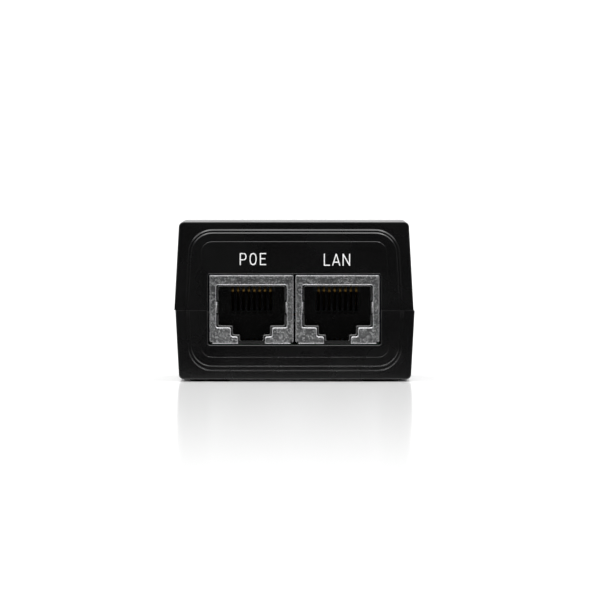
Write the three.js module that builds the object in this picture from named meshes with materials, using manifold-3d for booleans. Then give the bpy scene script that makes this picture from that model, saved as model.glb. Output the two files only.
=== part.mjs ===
// PoE injector: a two-shell plastic case with two shielded network jacks at the front and a mains
// inlet at the rear. Millimetres: X right, Y from the front face to the rear, Z up, and z = 0 is
// the table under the rubber feet.
import * as THREE from "three";
import { mergeVertices } from "three/addons/utils/BufferGeometryUtils.js";
import Module from "manifold-3d";

const wasm = await Module();
wasm.setup();

// ---------------------------------------------------------------- driving dimensions

// Case
const LENGTH = 86;
const CASE_BOTTOM = 0.4; // the feet stand out this far
const CASE_TOP = 30.1;
const SPLIT_Z = 13.4; // the two shells meet here, at the case's widest
const SPLIT_HALF = 22.55; // half-width of each shell at the split
const SHELL_SHIFT = 0.1; // moulding mismatch: top shell to the left, bottom shell to the right
const DRAFT = Math.tan(THREE.MathUtils.degToRad(3.1));
const WALL = 2;
const CORNER_ROUND = 1; // along the four long edges
const END_ROUND = 0.6; // around the two end faces
const LIP = { height: 0.8, inset: 1.1, clearance: 0.1 };

// Both end faces stand out from the case's frame in three low steps with rounded edges. Each step
// is an outline, and how far its flat lies behind the foremost one.
const STEPS = [
  { half: 20.6, low: 1.95, high: 28.7, radius: 4.7, behind: 0.3 },
  { half: 20.05, low: 2.8, high: 28.1, radius: 4.1, behind: 0.1 },
  { half: 18.1, low: 4.55, high: 26.4, radius: 2.1, behind: 0 },
];
const FRAME_BEHIND = 0.55;
const STEP_ROUNDS = [0.25, 0.2, 0.1];

// Circuit board, with its parts standing on its top
const BOARD = { half: 19.2, front: -40.8, rear: 22.6, top: 7.1, thick: 1.6 };

// Jacks: sizes of a shielded eight-way modular jack, tab slot down
const JACK_X = 8.1; // centre of each jack from the middle of the case
const SHIELD = { half: 7.935, front: -42.9, rear: -21.5, top: 20.05, sheet: 0.3, chamfer: 0.5 };
const MOUTH = { half: 6.62, top: 18.2, floor: 10.2, step: 3.83, stepFloor: 8.5, slot: 2.51 };
const CAVITY = { half: 6.15, top: 17.9, floor: 10.6, step: 3.43, stepFloor: 8.9, slot: 2.1 };
const CAVITY_REAR = -27;
const SLOT_FLOOR = 7.7;
const WINDOW = { half: 16.2, low: 6.95, high: 20.2 };

// Contacts: eight spring wires that fold over the carrier's nose and slope back into the cavity
const CONTACTS = 8;
const CONTACT_PITCH = 1.02;
const CONTACT = { width: 0.45, thick: 0.3, bend: 0.7, length: 9.9, slope: -20 };
const NOSE = { y: -35.6, z: 17.4, half: 0.4 }; // the contacts' bending axis runs along X here

// Mains inlet: a three-pin appliance inlet, chamfered corners and earth pin uppermost
const INLET_Z = 15.4;
const INLET = { half: 13.7, tall: 9.9, front: 24, wall: 1.5, base: 2, chamfer: 5 };
const COLLAR = { half: 15.5, tall: 11.5, thick: 2 };
const PIN = { width: 2, tall: 4, spacing: 7, offset: 2, lugThick: 0.8, lugRear: 19.5 };

// Fasteners, feet and the status light
const SCREW = { x: 18.4, y: 28.5, radius: 1.1, head: 1.9, headTall: 1.3, seat: 2.6, tip: 16.6 };
const BOSS = { radius: 2.1, baseRadius: 3, baseTop: 4.4 };
const FOOT = { x: 16.2, y: 37, radius: 3.6, thick: 1.2, clearance: 0.1 };
const LIGHT = { y: -18.6, led: 1.5, pipe: 1.4 };

const FRONT_Y = -LENGTH / 2;
const REAR_Y = LENGTH / 2;
const FAR = 60; // larger than the whole object, for cutters that run right through

// ---------------------------------------------------------------- solids

// A three.js geometry as a manifold-3d solid, so that it can be joined and cut.
function toSolid(geometry) {
  const bare = geometry.clone();
  bare.deleteAttribute("normal");
  bare.deleteAttribute("uv");
  const merged = mergeVertices(bare, 1e-4);
  return new wasm.Manifold(
    new wasm.Mesh({
      numProp: 3,
      vertProperties: new Float32Array(merged.attributes.position.array),
      triVerts: new Uint32Array(merged.index.array),
    }),
  );
}

// A manifold-3d solid as a flat-shaded three.js geometry.
function toGeometry(solid) {
  const mesh = solid.getMesh();
  const geometry = new THREE.BufferGeometry();
  const position = new THREE.BufferAttribute(new Float32Array(mesh.vertProperties), 3);
  geometry.setAttribute("position", position);
  geometry.setIndex(new THREE.BufferAttribute(new Uint32Array(mesh.triVerts), 1));
  const flat = geometry.toNonIndexed();
  flat.computeVertexNormals();
  return flat;
}

function join(...pieces) {
  return toGeometry(pieces.map(toSolid).reduce((whole, piece) => whole.add(piece)));
}

function cut(body, ...cutters) {
  return toGeometry(cutters.map(toSolid).reduce((left, tool) => left.subtract(tool), toSolid(body)));
}

function common(one, other) {
  return toGeometry(toSolid(one).intersect(toSolid(other)));
}

function block(x0, x1, y0, y1, z0, z1) {
  const box = new THREE.BoxGeometry(x1 - x0, y1 - y0, z1 - z0);
  return box.translate((x0 + x1) / 2, (y0 + y1) / 2, (z0 + z1) / 2);
}

// A box centred on x, y and standing on z0.
function standingBlock(x, y, z0, width, depth, height) {
  return block(x - width / 2, x + width / 2, y - depth / 2, y + depth / 2, z0, z0 + height);
}

function postAlongZ(x, y, z0, z1, radius, segments = 24) {
  const cylinder = new THREE.CylinderGeometry(radius, radius, z1 - z0, segments);
  return cylinder.rotateX(Math.PI / 2).translate(x, y, (z0 + z1) / 2);
}

function rodAlongX(x0, x1, y, z, radius, segments = 32) {
  const cylinder = new THREE.CylinderGeometry(radius, radius, x1 - x0, segments);
  return cylinder.rotateZ(Math.PI / 2).translate((x0 + x1) / 2, y, z);
}

function rodAlongY(x, y0, y1, z, radius, segments = 28) {
  const cylinder = new THREE.CylinderGeometry(radius, radius, y1 - y0, segments);
  return cylinder.translate(x, (y0 + y1) / 2, z);
}

// A solid of revolution about the vertical line through x, y. The profile is [radius, z] pairs.
function turned(x, y, profile, segments = 28) {
  const points = profile.map(([radius, z]) => new THREE.Vector2(radius, z));
  return new THREE.LatheGeometry(points, segments).rotateX(Math.PI / 2).translate(x, y, 0);
}

// An outline drawn in X and Z, swept along Y from y0 to y1, with its end edges rounded by `round`.
function prismAlongY(outline, y0, y1, round = 0) {
  const geometry = new THREE.ExtrudeGeometry(outline, {
    depth: y1 - y0 - 2 * round,
    bevelEnabled: round > 0,
    bevelThickness: round,
    bevelSize: round,
    bevelOffset: -round,
    bevelSegments: 3,
    curveSegments: 6,
  });
  return geometry.rotateX(Math.PI / 2).translate(0, y1 - round, 0);
}

// An outline drawn in Y and Z, swept along X from x0 to x1.
function prismAlongX(outline, x0, x1) {
  const geometry = new THREE.ExtrudeGeometry(outline, {
    depth: x1 - x0,
    bevelEnabled: false,
    curveSegments: 8,
  });
  const toYZ = new THREE.Matrix4().set(0, 0, 1, x0, 1, 0, 0, 0, 0, 1, 0, 0, 0, 0, 0, 1);
  return geometry.applyMatrix4(toYZ);
}

// A round wire or tube along a smooth curve through the points.
function tube(points, radius, steps = 16) {
  const path = new THREE.CatmullRomCurve3(points.map((point) => new THREE.Vector3(...point)));
  const section = new THREE.Shape().absarc(0, 0, radius, 0, 2 * Math.PI, false);
  return new THREE.ExtrudeGeometry(section, { steps, extrudePath: path, curveSegments: 5 });
}

// ---------------------------------------------------------------- outlines

// A closed outline through the corners, counter-clockwise, each rounded by its own radius.
function roundedOutline(corners, radii) {
  const outline = new THREE.Shape();
  corners.forEach((corner, i) => {
    const here = new THREE.Vector2(...corner);
    const last = new THREE.Vector2(...corners[(i + corners.length - 1) % corners.length]);
    const next = new THREE.Vector2(...corners[(i + 1) % corners.length]);
    const into = here.clone().sub(last).normalize();
    const out = next.clone().sub(here).normalize();
    const turn = Math.atan2(into.cross(out), into.dot(out));
    const setback = radii[i] * Math.tan(turn / 2);
    const start = here.clone().addScaledVector(into, -setback);
    const move = i === 0 ? "moveTo" : "lineTo";
    outline[move](start.x, start.y);
    if (radii[i] > 0) {
      const centreX = start.x - into.y * radii[i];
      const centreY = start.y + into.x * radii[i];
      const from = Math.atan2(-into.x, into.y);
      outline.absarc(centreX, centreY, radii[i], from, from + turn, false);
    }
  });
  outline.closePath();
  return outline;
}

// The case's cross-section, drafted above and below the split.
function caseOutline({ half, low, high, radius }, shift = 0) {
  const halfAt = (z) => half - Math.abs(z - SPLIT_Z) * DRAFT;
  const corners = [
    [shift - halfAt(low), low],
    [shift + halfAt(low), low],
    [shift + half, SPLIT_Z],
    [shift + halfAt(high), high],
    [shift - halfAt(high), high],
    [shift - half, SPLIT_Z],
  ];
  return roundedOutline(corners, [radius, radius, 0, radius, radius, 0]);
}

// The case's cross-section moved inwards by `inset` all round.
function insetOutline(inset, radius, shift = 0) {
  const size = {
    half: SPLIT_HALF - inset,
    low: CASE_BOTTOM + inset,
    high: CASE_TOP - inset,
    radius,
  };
  return caseOutline(size, shift);
}

// A jack's opening: the plug's body above, two steps for its latch below.
function jackOutline({ half, top, floor, step, stepFloor, slot }, slotFloor) {
  const rightSide = [
    [slot, slotFloor],
    [slot, stepFloor],
    [step, stepFloor],
    [step, floor],
    [half, floor],
    [half, top],
  ];
  const leftSide = rightSide.map(([x, z]) => [-x, z]).reverse();
  const corners = [...rightSide, ...leftSide].map(([x, z]) => new THREE.Vector2(x, z));
  return new THREE.Shape(corners);
}

// The inlet's outline: a rectangle with its two upper corners cut off.
function inletOutline(half, tall, chamfer, round) {
  const corners = [
    [-half, INLET_Z - tall],
    [half, INLET_Z - tall],
    [half, INLET_Z + tall - chamfer],
    [half - chamfer, INLET_Z + tall],
    [chamfer - half, INLET_Z + tall],
    [-half, INLET_Z + tall - chamfer],
  ];
  return roundedOutline(corners, Array(6).fill(round));
}

// ---------------------------------------------------------------- materials

function material(color, roughness, metalness = 0) {
  return new THREE.MeshStandardMaterial({ color, roughness, metalness });
}

const blackPlastic = () => material(0x131313, 0.6);
const rubber = () => material(0x1c1c1c, 0.9);
const zincPlated = () => material(0xb9bcc0, 0.35, 0.9);
const tinnedShield = () => material(0x9c9ea0, 0.4, 0.9);
const blackHousing = () => material(0x0c0c0c, 0.5);
const goldPlated = () => material(0xd9b45a, 0.3, 1);
const nickelPin = () => material(0xc4c2ba, 0.3, 0.9);
const clearPlastic = () => material(0xe4eaec, 0.15);
const greenBoard = () => material(0x1f6b3a, 0.5);
const ferrite = () => material(0x3a3a3c, 0.7);
const blackEpoxy = () => material(0x161616, 0.45);
const copperWinding = () => material(0xb8652c, 0.4, 0.7);
const yellowTape = () => material(0xd8b63c, 0.5);

// ---------------------------------------------------------------- case

const CORNERS = [
  [-1, -1],
  [1, -1],
  [-1, 1],
  [1, 1],
];

// Both shells' hollow case, before it is split.
function hollowCase(shift) {
  const frame = prismAlongY(
    insetOutline(0, CORNER_ROUND, shift),
    FRONT_Y + FRAME_BEHIND,
    REAR_Y - FRAME_BEHIND,
    END_ROUND,
  );
  const steps = STEPS.map((step, i) =>
    prismAlongY(
      caseOutline(step, shift),
      FRONT_Y + step.behind,
      REAR_Y - step.behind,
      STEP_ROUNDS[i],
    ),
  );
  const inside = prismAlongY(insetOutline(WALL, 0.5), FRONT_Y + WALL, REAR_Y - WALL);
  return cut(join(frame, ...steps), inside);
}

function endOpenings() {
  const { half, low, high } = WINDOW;
  const clear = 0.1;
  const inletHole = inletOutline(INLET.half + clear, INLET.tall + clear, INLET.chamfer, 1.1);
  return [
    block(-half, half, FRONT_Y - 1, FRONT_Y + WALL + 1, low, high),
    prismAlongY(inletHole, REAR_Y - WALL - 1, REAR_Y + 1),
  ];
}

// The band just inside the wall where the bottom shell's lip stands inside the top shell.
function lipBand(inset, innerInset, z0, z1) {
  const ring = cut(
    prismAlongY(insetOutline(inset, 0.8), FRONT_Y + inset, REAR_Y - inset),
    prismAlongY(insetOutline(innerInset, 0.5), FRONT_Y + innerInset, REAR_Y - innerInset),
  );
  return common(ring, block(-FAR, FAR, -FAR, FAR, z0, z1));
}

// Ribs on both sides that hold the inlet's collar against the rear wall.
function collarRibs(z0, z1) {
  const rear = REAR_Y - WALL - COLLAR.thick - 0.1;
  return [-1, 1].map((side) => {
    const x = side * 17.4;
    return block(x - 3.2, x + 3.2, rear - 1.8, rear, z0, z1);
  });
}

function topShell() {
  const above = block(-FAR, FAR, -FAR, FAR, SPLIT_Z, FAR);
  const envelope = prismAlongY(insetOutline(0.5, 1), FRONT_Y + 0.5, REAR_Y - 0.5);
  const bosses = CORNERS.map(([side, end]) =>
    postAlongZ(side * SCREW.x, end * SCREW.y, SPLIT_Z, CASE_TOP - 1, BOSS.radius),
  );
  const holdDowns = [-1, 1].map((side) =>
    standingBlock(side * JACK_X, -26, SHIELD.top + 0.2, 11, 1.2, 9),
  );
  const inside = [...bosses, ...holdDowns, ...collarRibs(SPLIT_Z, CASE_TOP - 1)];
  const { height, inset, clearance } = LIP;
  const rebate = lipBand(
    inset - clearance,
    WALL + clearance,
    SPLIT_Z - 1,
    SPLIT_Z + height + clearance,
  );
  const pilotHoles = CORNERS.map(([side, end]) =>
    postAlongZ(side * SCREW.x, end * SCREW.y, SPLIT_Z - 1, SCREW.tip + 1.4, SCREW.radius + 0.02),
  );
  const lightHole = postAlongZ(0, LIGHT.y, CASE_TOP - WALL - 1, FAR, LIGHT.pipe + 0.1);
  const shell = common(hollowCase(-SHELL_SHIFT), above);
  const whole = join(shell, ...inside.map((piece) => common(piece, envelope)));
  return cut(whole, ...endOpenings(), rebate, ...pilotHoles, lightHole);
}

function bottomShell() {
  const below = block(-FAR, FAR, -FAR, FAR, -FAR, SPLIT_Z);
  const envelope = prismAlongY(insetOutline(0.5, 1), FRONT_Y + 0.5, REAR_Y - 0.5);
  const bosses = CORNERS.flatMap(([side, end]) => [
    postAlongZ(side * SCREW.x, end * SCREW.y, CASE_BOTTOM + 1, SPLIT_Z, BOSS.radius),
    postAlongZ(side * SCREW.x, end * SCREW.y, CASE_BOTTOM + 1, BOSS.baseTop, BOSS.baseRadius),
  ]);
  const boardPosts = [
    [-10, -38.8],
    [10, -38.8],
    [-15, 19.5],
    [15, 19.5],
  ].map(([x, y]) => postAlongZ(x, y, CASE_BOTTOM + 1, BOARD.top - BOARD.thick, 1.8, 20));
  const lip = lipBand(LIP.inset, WALL, SPLIT_Z - 0.5, SPLIT_Z + LIP.height);
  const inside = [...bosses, ...boardPosts, ...collarRibs(CASE_BOTTOM + 1, SPLIT_Z)];
  const screwHoles = CORNERS.flatMap(([side, end]) => [
    postAlongZ(side * SCREW.x, end * SCREW.y, -1, SPLIT_Z + 2, SCREW.radius + 0.15),
    postAlongZ(side * SCREW.x, end * SCREW.y, -1, SCREW.seat, SCREW.head + 0.15),
  ]);
  const footRecesses = CORNERS.map(([side, end]) =>
    postAlongZ(side * FOOT.x, end * FOOT.y, -1, FOOT.thick, FOOT.radius + FOOT.clearance),
  );
  const shell = common(hollowCase(SHELL_SHIFT), below);
  const whole = join(shell, ...inside.map((piece) => common(piece, envelope)), lip);
  return cut(whole, ...endOpenings(), ...screwHoles, ...footRecesses);
}

// A pan-head screw, driven upwards, with a cross recess in its head.
function caseScrew(x, y) {
  const { radius, head, headTall, seat, tip } = SCREW;
  const body = turned(x, y, [
    [0, seat - headTall],
    [head - 0.5, seat - headTall],
    [head, seat - headTall + 0.5],
    [head, seat],
    [radius, seat],
    [radius, tip - 1],
    [0, tip],
  ], 24);
  const recess = [
    standingBlock(x, y, -1, 2.2, 0.5, seat - headTall + 1.7),
    standingBlock(x, y, -1, 0.5, 2.2, seat - headTall + 1.7),
  ];
  return cut(body, ...recess);
}

function rubberFoot(x, y) {
  const { radius, thick } = FOOT;
  return turned(x, y, [
    [0, 0],
    [radius - 0.4, 0],
    [radius, 0.4],
    [radius, thick],
    [0, thick],
  ], 28);
}

// ---------------------------------------------------------------- jacks

// The tinned shield: front, top, sides and back of sheet, open below, with two legs in the board.
function jackShield(x) {
  const { half, front, rear, top, sheet, chamfer } = SHIELD;
  const bottom = BOARD.top;
  const outline = new THREE.Shape([
    new THREE.Vector2(chamfer - half, bottom),
    new THREE.Vector2(half - chamfer, bottom),
    new THREE.Vector2(half, bottom + chamfer),
    new THREE.Vector2(half, top),
    new THREE.Vector2(-half, top),
    new THREE.Vector2(-half, bottom + chamfer),
  ]);
  const inner = block(sheet - half, half - sheet, front + sheet, rear - sheet, -1, top - sheet);
  const mouth = prismAlongY(jackOutline(MOUTH, bottom - 1), front - 1, front + sheet + 1);
  const fingers = [-1, 1].map((side) => {
    const at = side * (MOUTH.half - 0.075);
    return block(at - 0.125, at + 0.125, front, front + 4.4, 12.9, 15);
  });
  const legs = [-1, 1].map((side) => {
    const at = side * (half - sheet / 2);
    return block(at - sheet / 2, at + sheet / 2, -33.5, -31.9, 4, bottom + 1);
  });
  const can = cut(prismAlongY(outline, front, rear), inner, mouth);
  return join(can, ...fingers, ...legs).translate(x, 0, 0);
}

// The plastic housing: the plug's cavity, the latch slot below it and the carrier's bay behind.
function jackHousing(x) {
  const half = SHIELD.half - SHIELD.sheet - 0.035;
  const top = SHIELD.top - SHIELD.sheet - 0.05;
  const front = SHIELD.front + SHIELD.sheet + 0.02;
  const rear = SHIELD.rear - SHIELD.sheet - 0.2;
  const body = block(-half, half, front, rear, BOARD.top, top);
  const cavity = prismAlongY(jackOutline(CAVITY, SLOT_FLOOR), front - 1, CAVITY_REAR);
  const bay = block(-6.5, 6.5, CAVITY_REAR - 0.1, rear + 1, BOARD.top + 0.6, 18.3);
  const roofPocket = block(-4.2, 4.2, NOSE.y - 1.2, CAVITY_REAR, CAVITY.top - 0.5, 18.4);
  const fingerPockets = [-1, 1].map((side) => {
    const at = side * 6.5;
    return block(at - 0.5, at + 0.5, front - 1, front + 5, 12.6, 15.3);
  });
  return cut(body, cavity, bay, roofPocket, ...fingerPockets).translate(x, 0, 0);
}

function contactOffsets() {
  return Array.from({ length: CONTACTS }, (_, i) => (i - (CONTACTS - 1) / 2) * CONTACT_PITCH);
}

// The carrier: a block that fills the bay, a tongue under the roof, and a comb for the contacts.
function contactCarrier(x) {
  const back = block(-6.4, 6.4, CAVITY_REAR + 0.1, SHIELD.rear - 0.7, BOARD.top + 0.8, 17.8);
  const tongue = block(
    -4.5,
    4.5,
    NOSE.y + 0.2,
    CAVITY_REAR + 1,
    NOSE.z - NOSE.half,
    NOSE.z + NOSE.half,
  );
  const combSlots = contactOffsets().map((at) =>
    block(at - 0.33, at + 0.33, CAVITY_REAR, CAVITY_REAR + 1.8, 12.6, NOSE.z - NOSE.half),
  );
  return cut(join(back, tongue), ...combSlots).translate(x, 0, 0);
}

// One spring contact: an arm that slopes down and back from a bend around the carrier's nose.
function springContact(x) {
  const { width, thick, bend, length, slope } = CONTACT;
  const arm = new THREE.Shape();
  const outer = bend + thick / 2;
  const inner = bend - thick / 2;
  const below = -Math.PI / 2;
  const above = THREE.MathUtils.degToRad(-240);
  arm.moveTo(0, -outer);
  arm.lineTo(length - 0.6, -outer);
  arm.lineTo(length, -outer + 0.15);
  arm.lineTo(length, -inner);
  arm.lineTo(0, -inner);
  arm.absarc(0, 0, inner, below, above, true);
  arm.absarc(0, 0, outer, above, below, false);
  const strip = prismAlongX(arm, -width / 2, width / 2);
  strip.rotateX(THREE.MathUtils.degToRad(slope));
  return strip.translate(x, NOSE.y, NOSE.z);
}

// ---------------------------------------------------------------- mains inlet

function inletHousing() {
  const { half, tall, front, wall, base, chamfer } = INLET;
  const body = prismAlongY(inletOutline(half, tall, chamfer, 1), front, REAR_Y);
  const collarRear = REAR_Y - WALL;
  const collarShape = inletOutline(COLLAR.half, COLLAR.tall, chamfer, 1);
  const collar = prismAlongY(collarShape, collarRear - COLLAR.thick, collarRear);
  const recess = inletOutline(half - wall, tall - wall - 0.1, chamfer - 0.6, 0.6);
  const cavity = prismAlongY(recess, front + base, REAR_Y + 1);
  const pinHoles = pinPlaces().map(({ x, z }) =>
    block(x - PIN.width / 2, x + PIN.width / 2, front - 1, REAR_Y, z - PIN.tall / 2, z + PIN.tall / 2),
  );
  return cut(join(body, collar), cavity, ...pinHoles);
}

function pinPlaces() {
  return [
    { name: "live_pin", x: -PIN.spacing, z: INLET_Z - PIN.offset, tip: 38.5 },
    { name: "neutral_pin", x: PIN.spacing, z: INLET_Z - PIN.offset, tip: 38.5 },
    { name: "earth_pin", x: 0, z: INLET_Z + PIN.offset, tip: 40.5 },
  ];
}

// A flat pin with a tapered tip, and a solder lug behind the housing.
function inletPin({ x, z, tip }) {
  const { width, tall, lugThick, lugRear } = PIN;
  const blunt = 1;
  const blade = new THREE.Shape([
    new THREE.Vector2(INLET.front, z - tall / 2),
    new THREE.Vector2(tip - blunt, z - tall / 2),
    new THREE.Vector2(tip, z - tall / 2 + blunt),
    new THREE.Vector2(tip, z + tall / 2 - blunt),
    new THREE.Vector2(tip - blunt, z + tall / 2),
    new THREE.Vector2(INLET.front, z + tall / 2),
  ]);
  const bar = prismAlongX(blade, x - width / 2, x + width / 2);
  const lug = block(
    x - lugThick / 2,
    x + lugThick / 2,
    lugRear,
    INLET.front + 0.5,
    z - tall / 2,
    z + tall / 2,
  );
  const eyelet = rodAlongX(x - 1, x + 1, lugRear + 1.8, z, 0.8, 16);
  return cut(join(bar, lug), eyelet);
}

// The three wires from the solder lugs down to the board. Each runs clear of its neighbours.
const WIRE_RADIUS = 0.8;
const LUG_GAP = WIRE_RADIUS + PIN.lugThick / 2 + 0.05;
const WIRES = {
  live_wire: [
    [-PIN.spacing - LUG_GAP, 22.6, 13.4],
    [-PIN.spacing - LUG_GAP, 20.6, 13.2],
    [-8.9, 18.6, 11.4],
    [-9.2, 18.2, 9.2],
    [-9.2, 18.2, 7.2],
  ],
  neutral_wire: [
    [PIN.spacing + LUG_GAP, 22.6, 13.4],
    [PIN.spacing + LUG_GAP, 20.8, 13.2],
    [8.9, 19.6, 11.4],
    [9.2, 19.4, 9.2],
    [9.2, 19.4, 7.2],
  ],
  earth_wire: [
    [LUG_GAP, 22.6, 17.4],
    [LUG_GAP, 20.6, 17.2],
    [2, 18.6, 14.6],
    [2.6, 18.2, 10.4],
    [2.6, 18.2, 7.2],
  ],
};

// ---------------------------------------------------------------- circuit board and its parts

function circuitBoard() {
  const { half, front, rear, top, thick } = BOARD;
  const plate = block(-half, half, front, rear, top - thick, top);
  const notches = [-1, 1].map((side) =>
    postAlongZ(side * SCREW.x, -SCREW.y, 0, top + 1, BOSS.radius + 0.4, 24),
  );
  const legSlots = [
    [-16.3, -15.5],
    [-0.75, 0.75],
    [15.5, 16.3],
  ].map(([x0, x1]) => block(x0, x1, -33.8, -31.6, 0, top + 1));
  return cut(plate, ...notches, ...legSlots);
}

// An upright electrolytic capacitor with a rolled edge and a crimped waist.
function electrolytic(x, y, radius, height) {
  const z0 = BOARD.top + 0.1;
  const z1 = z0 + height;
  return turned(x, y, [
    [0, z0],
    [radius - 0.4, z0],
    [radius, z0 + 0.4],
    [radius, z0 + 1.6],
    [radius - 0.35, z0 + 2.1],
    [radius, z0 + 2.6],
    [radius, z1 - 0.5],
    [radius - 0.5, z1],
    [0, z1],
  ]);
}

// A sub-miniature fuse: a round cap on a slightly wider base.
function radialFuse(x, y, radius, height) {
  const z0 = BOARD.top + 0.1;
  const z1 = z0 + height;
  return turned(x, y, [
    [0, z0],
    [radius, z0],
    [radius, z0 + 0.9],
    [radius - 0.25, z0 + 0.9],
    [radius - 0.25, z1 - 0.6],
    [radius - 0.85, z1],
    [0, z1],
  ]);
}

// A disc part standing on edge on two wire legs, its flat faces towards the two ends of the case.
function discOnLegs(x, y, radius, thick, lift) {
  const z = BOARD.top + lift + radius;
  const disc = rodAlongY(x, y - thick / 2, y + thick / 2, z, radius);
  const legs = [-1, 1].map((side) =>
    postAlongZ(x + side * radius * 0.5, y, BOARD.top + 0.05, z - radius * 0.5, 0.3, 10),
  );
  return join(disc, ...legs);
}

// A moulded chip package with its legs along both long sides.
function chip(x, y, width, depth, height, legsPerSide) {
  const lift = 0.4;
  const body = standingBlock(x, y, BOARD.top + lift, width, depth, height);
  const pitch = depth / legsPerSide;
  const legs = [-1, 1].flatMap((side) =>
    Array.from({ length: legsPerSide }, (_, i) => {
      const at = y + (i - (legsPerSide - 1) / 2) * pitch;
      return standingBlock(x + side * (width / 2 + 0.3), at, BOARD.top + 0.05, 1, 0.5, height / 2);
    }),
  );
  return join(body, ...legs);
}

const TRANSFORMER = { x: -1.5, y: -8.5, z: 8.6, width: 18, depth: 5.6, height: 15, limb: 5 };

// The ferrite core: a figure of eight seen from the front, its middle limb inside the winding.
function transformerCore() {
  const { x, y, z, width, depth, height, limb } = TRANSFORMER;
  const yoke = 2.6;
  const windowWidth = (width - 2 * yoke - limb) / 2;
  const windows = [-1, 1].map((side) =>
    standingBlock(
      x + side * (limb + windowWidth) / 2,
      y,
      z + yoke,
      windowWidth,
      depth + 2,
      height - 2 * yoke,
    ),
  );
  return cut(standingBlock(x, y, z, width, depth, height), ...windows);
}

// The bobbin: a sleeve around the middle limb, a flange above and below, and a pin rail each side.
function transformerBobbin() {
  const { x, y, z, height, limb, depth } = TRANSFORMER;
  const low = z + 2.7;
  const tall = height - 5.4;
  const sleeve = standingBlock(x, y, low, limb + 1.4, depth + 1.4, tall);
  const flanges = [low, low + tall - 0.8].map((at) => standingBlock(x, y, at, 12.4, 13, 0.8));
  const rails = [-1, 1].flatMap((end) => {
    const at = y + end * 5.2;
    const rail = standingBlock(x, at, BOARD.top + 0.5, 12.4, 2.2, low - BOARD.top);
    const pins = [-1.5, -0.5, 0.5, 1.5].map((i) =>
      postAlongZ(x + i * 3, at, BOARD.top + 0.05, BOARD.top + 1, 0.35, 10),
    );
    return [rail, ...pins];
  });
  const limbHole = standingBlock(x, y, z, limb + 0.2, depth + 0.2, height);
  return cut(join(sleeve, ...flanges, ...rails), limbHole);
}

function transformerWinding() {
  const { x, y, z, height, limb, depth } = TRANSFORMER;
  const low = z + 3.6;
  const tall = height - 7.2;
  const round = roundedOutline(
    [
      [-5.6, -6.1],
      [5.6, -6.1],
      [5.6, 6.1],
      [-5.6, 6.1],
    ],
    [2, 2, 2, 2],
  );
  const coil = new THREE.ExtrudeGeometry(round, {
    depth: tall,
    bevelEnabled: false,
    curveSegments: 5,
  }).translate(x, y, low);
  return cut(coil, standingBlock(x, y, low - 1, limb + 1.6, depth + 1.6, tall + 2));
}

const CHOKE = { x: -12.3, y: 5.4, outer: 5.3, inner: 2.8, height: 4.6, z: 9 };

// A ring about the vertical: the toroid's core, and the wire wound over it in two halves.
function ring(outer, inner, z0, z1) {
  return cut(
    postAlongZ(CHOKE.x, CHOKE.y, z0, z1, outer),
    postAlongZ(CHOKE.x, CHOKE.y, z0 - 1, z1 + 1, inner),
  );
}

function chokeCore() {
  return ring(CHOKE.outer, CHOKE.inner, CHOKE.z, CHOKE.z + CHOKE.height);
}

// Two half windings over the core, joined by the loop of wire that leads from one to the other.
function chokeWinding() {
  const { x, y, outer, inner, height, z } = CHOKE;
  const gap = 0.05;
  const wire = 0.8;
  const sleeve = cut(
    ring(outer + wire, inner - wire, z - wire, z + height + wire),
    ring(outer + gap, inner - gap, z - gap, z + height + gap),
  );
  const spacer = block(x - 0.9, x + 0.9, y - 10, y + inner - wire - 0.2, 0, FAR);
  const legs = [-1, 1].flatMap((side) =>
    [-3, 3].map((at) => postAlongZ(x + side * 3, y + at, BOARD.top + 0.05, z - 0.4, 0.4, 10)),
  );
  return join(cut(sleeve, spacer), ...legs);
}

function heatSink() {
  const plate = block(17, 18.2, -13.4, -1.8, BOARD.top + 0.1, 23);
  const fins = [-12.8, -9.9, -7, -4.1].map((y) => block(15.9, 17.5, y, y + 1, 23.5, 25.5));
  const shelf = block(14.6, 18.2, -13.4, -1.8, 22.6, 23.8);
  return join(plate, shelf, ...fins);
}

// A tab-less power package flat against the heat sink, on three legs.
function switchingTransistor() {
  const body = block(12.4, 16.9, -12.6, -2.6, 10.4, 22);
  const legs = [-10.14, -7.6, -5.06].map((y) =>
    standingBlock(14.2, y, BOARD.top + 0.05, 0.6, 0.8, 3.6),
  );
  return join(body, ...legs);
}

// An axial power diode lying on the board with its leads bent down.
function outputDiode() {
  const y = -18.4;
  const z = BOARD.top + 2.4;
  const body = rodAlongX(3.3, 9, y, z, 1.9, 24);
  const lead = rodAlongX(2.7, 9.6, y, z, 0.4, 10);
  const legs = [2.7, 9.6].map((x) => postAlongZ(x, y, BOARD.top + 0.05, z + 0.35, 0.4, 10));
  return join(body, lead, ...legs);
}

function statusLed() {
  const z0 = BOARD.top + 0.1;
  return turned(0, LIGHT.y, [
    [0, z0],
    [LIGHT.led + 0.3, z0],
    [LIGHT.led + 0.3, z0 + 1],
    [LIGHT.led, z0 + 1],
    [LIGHT.led, z0 + 3.4],
    [LIGHT.led * 0.7, z0 + 4.4],
    [0, z0 + 4.9],
  ], 24);
}

function lightPipe() {
  return postAlongZ(0, LIGHT.y, 12.6, CASE_TOP, LIGHT.pipe, 24);
}

// ---------------------------------------------------------------- assembly

const injector = new THREE.Group();

function add(name, geometry, look) {
  const mesh = new THREE.Mesh(geometry, look);
  mesh.name = name;
  injector.add(mesh);
}

add("top_shell", topShell(), blackPlastic());
add("bottom_shell", bottomShell(), blackPlastic());
CORNERS.forEach(([side, end], i) => {
  add(`case_screw_${i + 1}`, caseScrew(side * SCREW.x, end * SCREW.y), zincPlated());
  add(`rubber_foot_${i + 1}`, rubberFoot(side * FOOT.x, end * FOOT.y), rubber());
});

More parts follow.
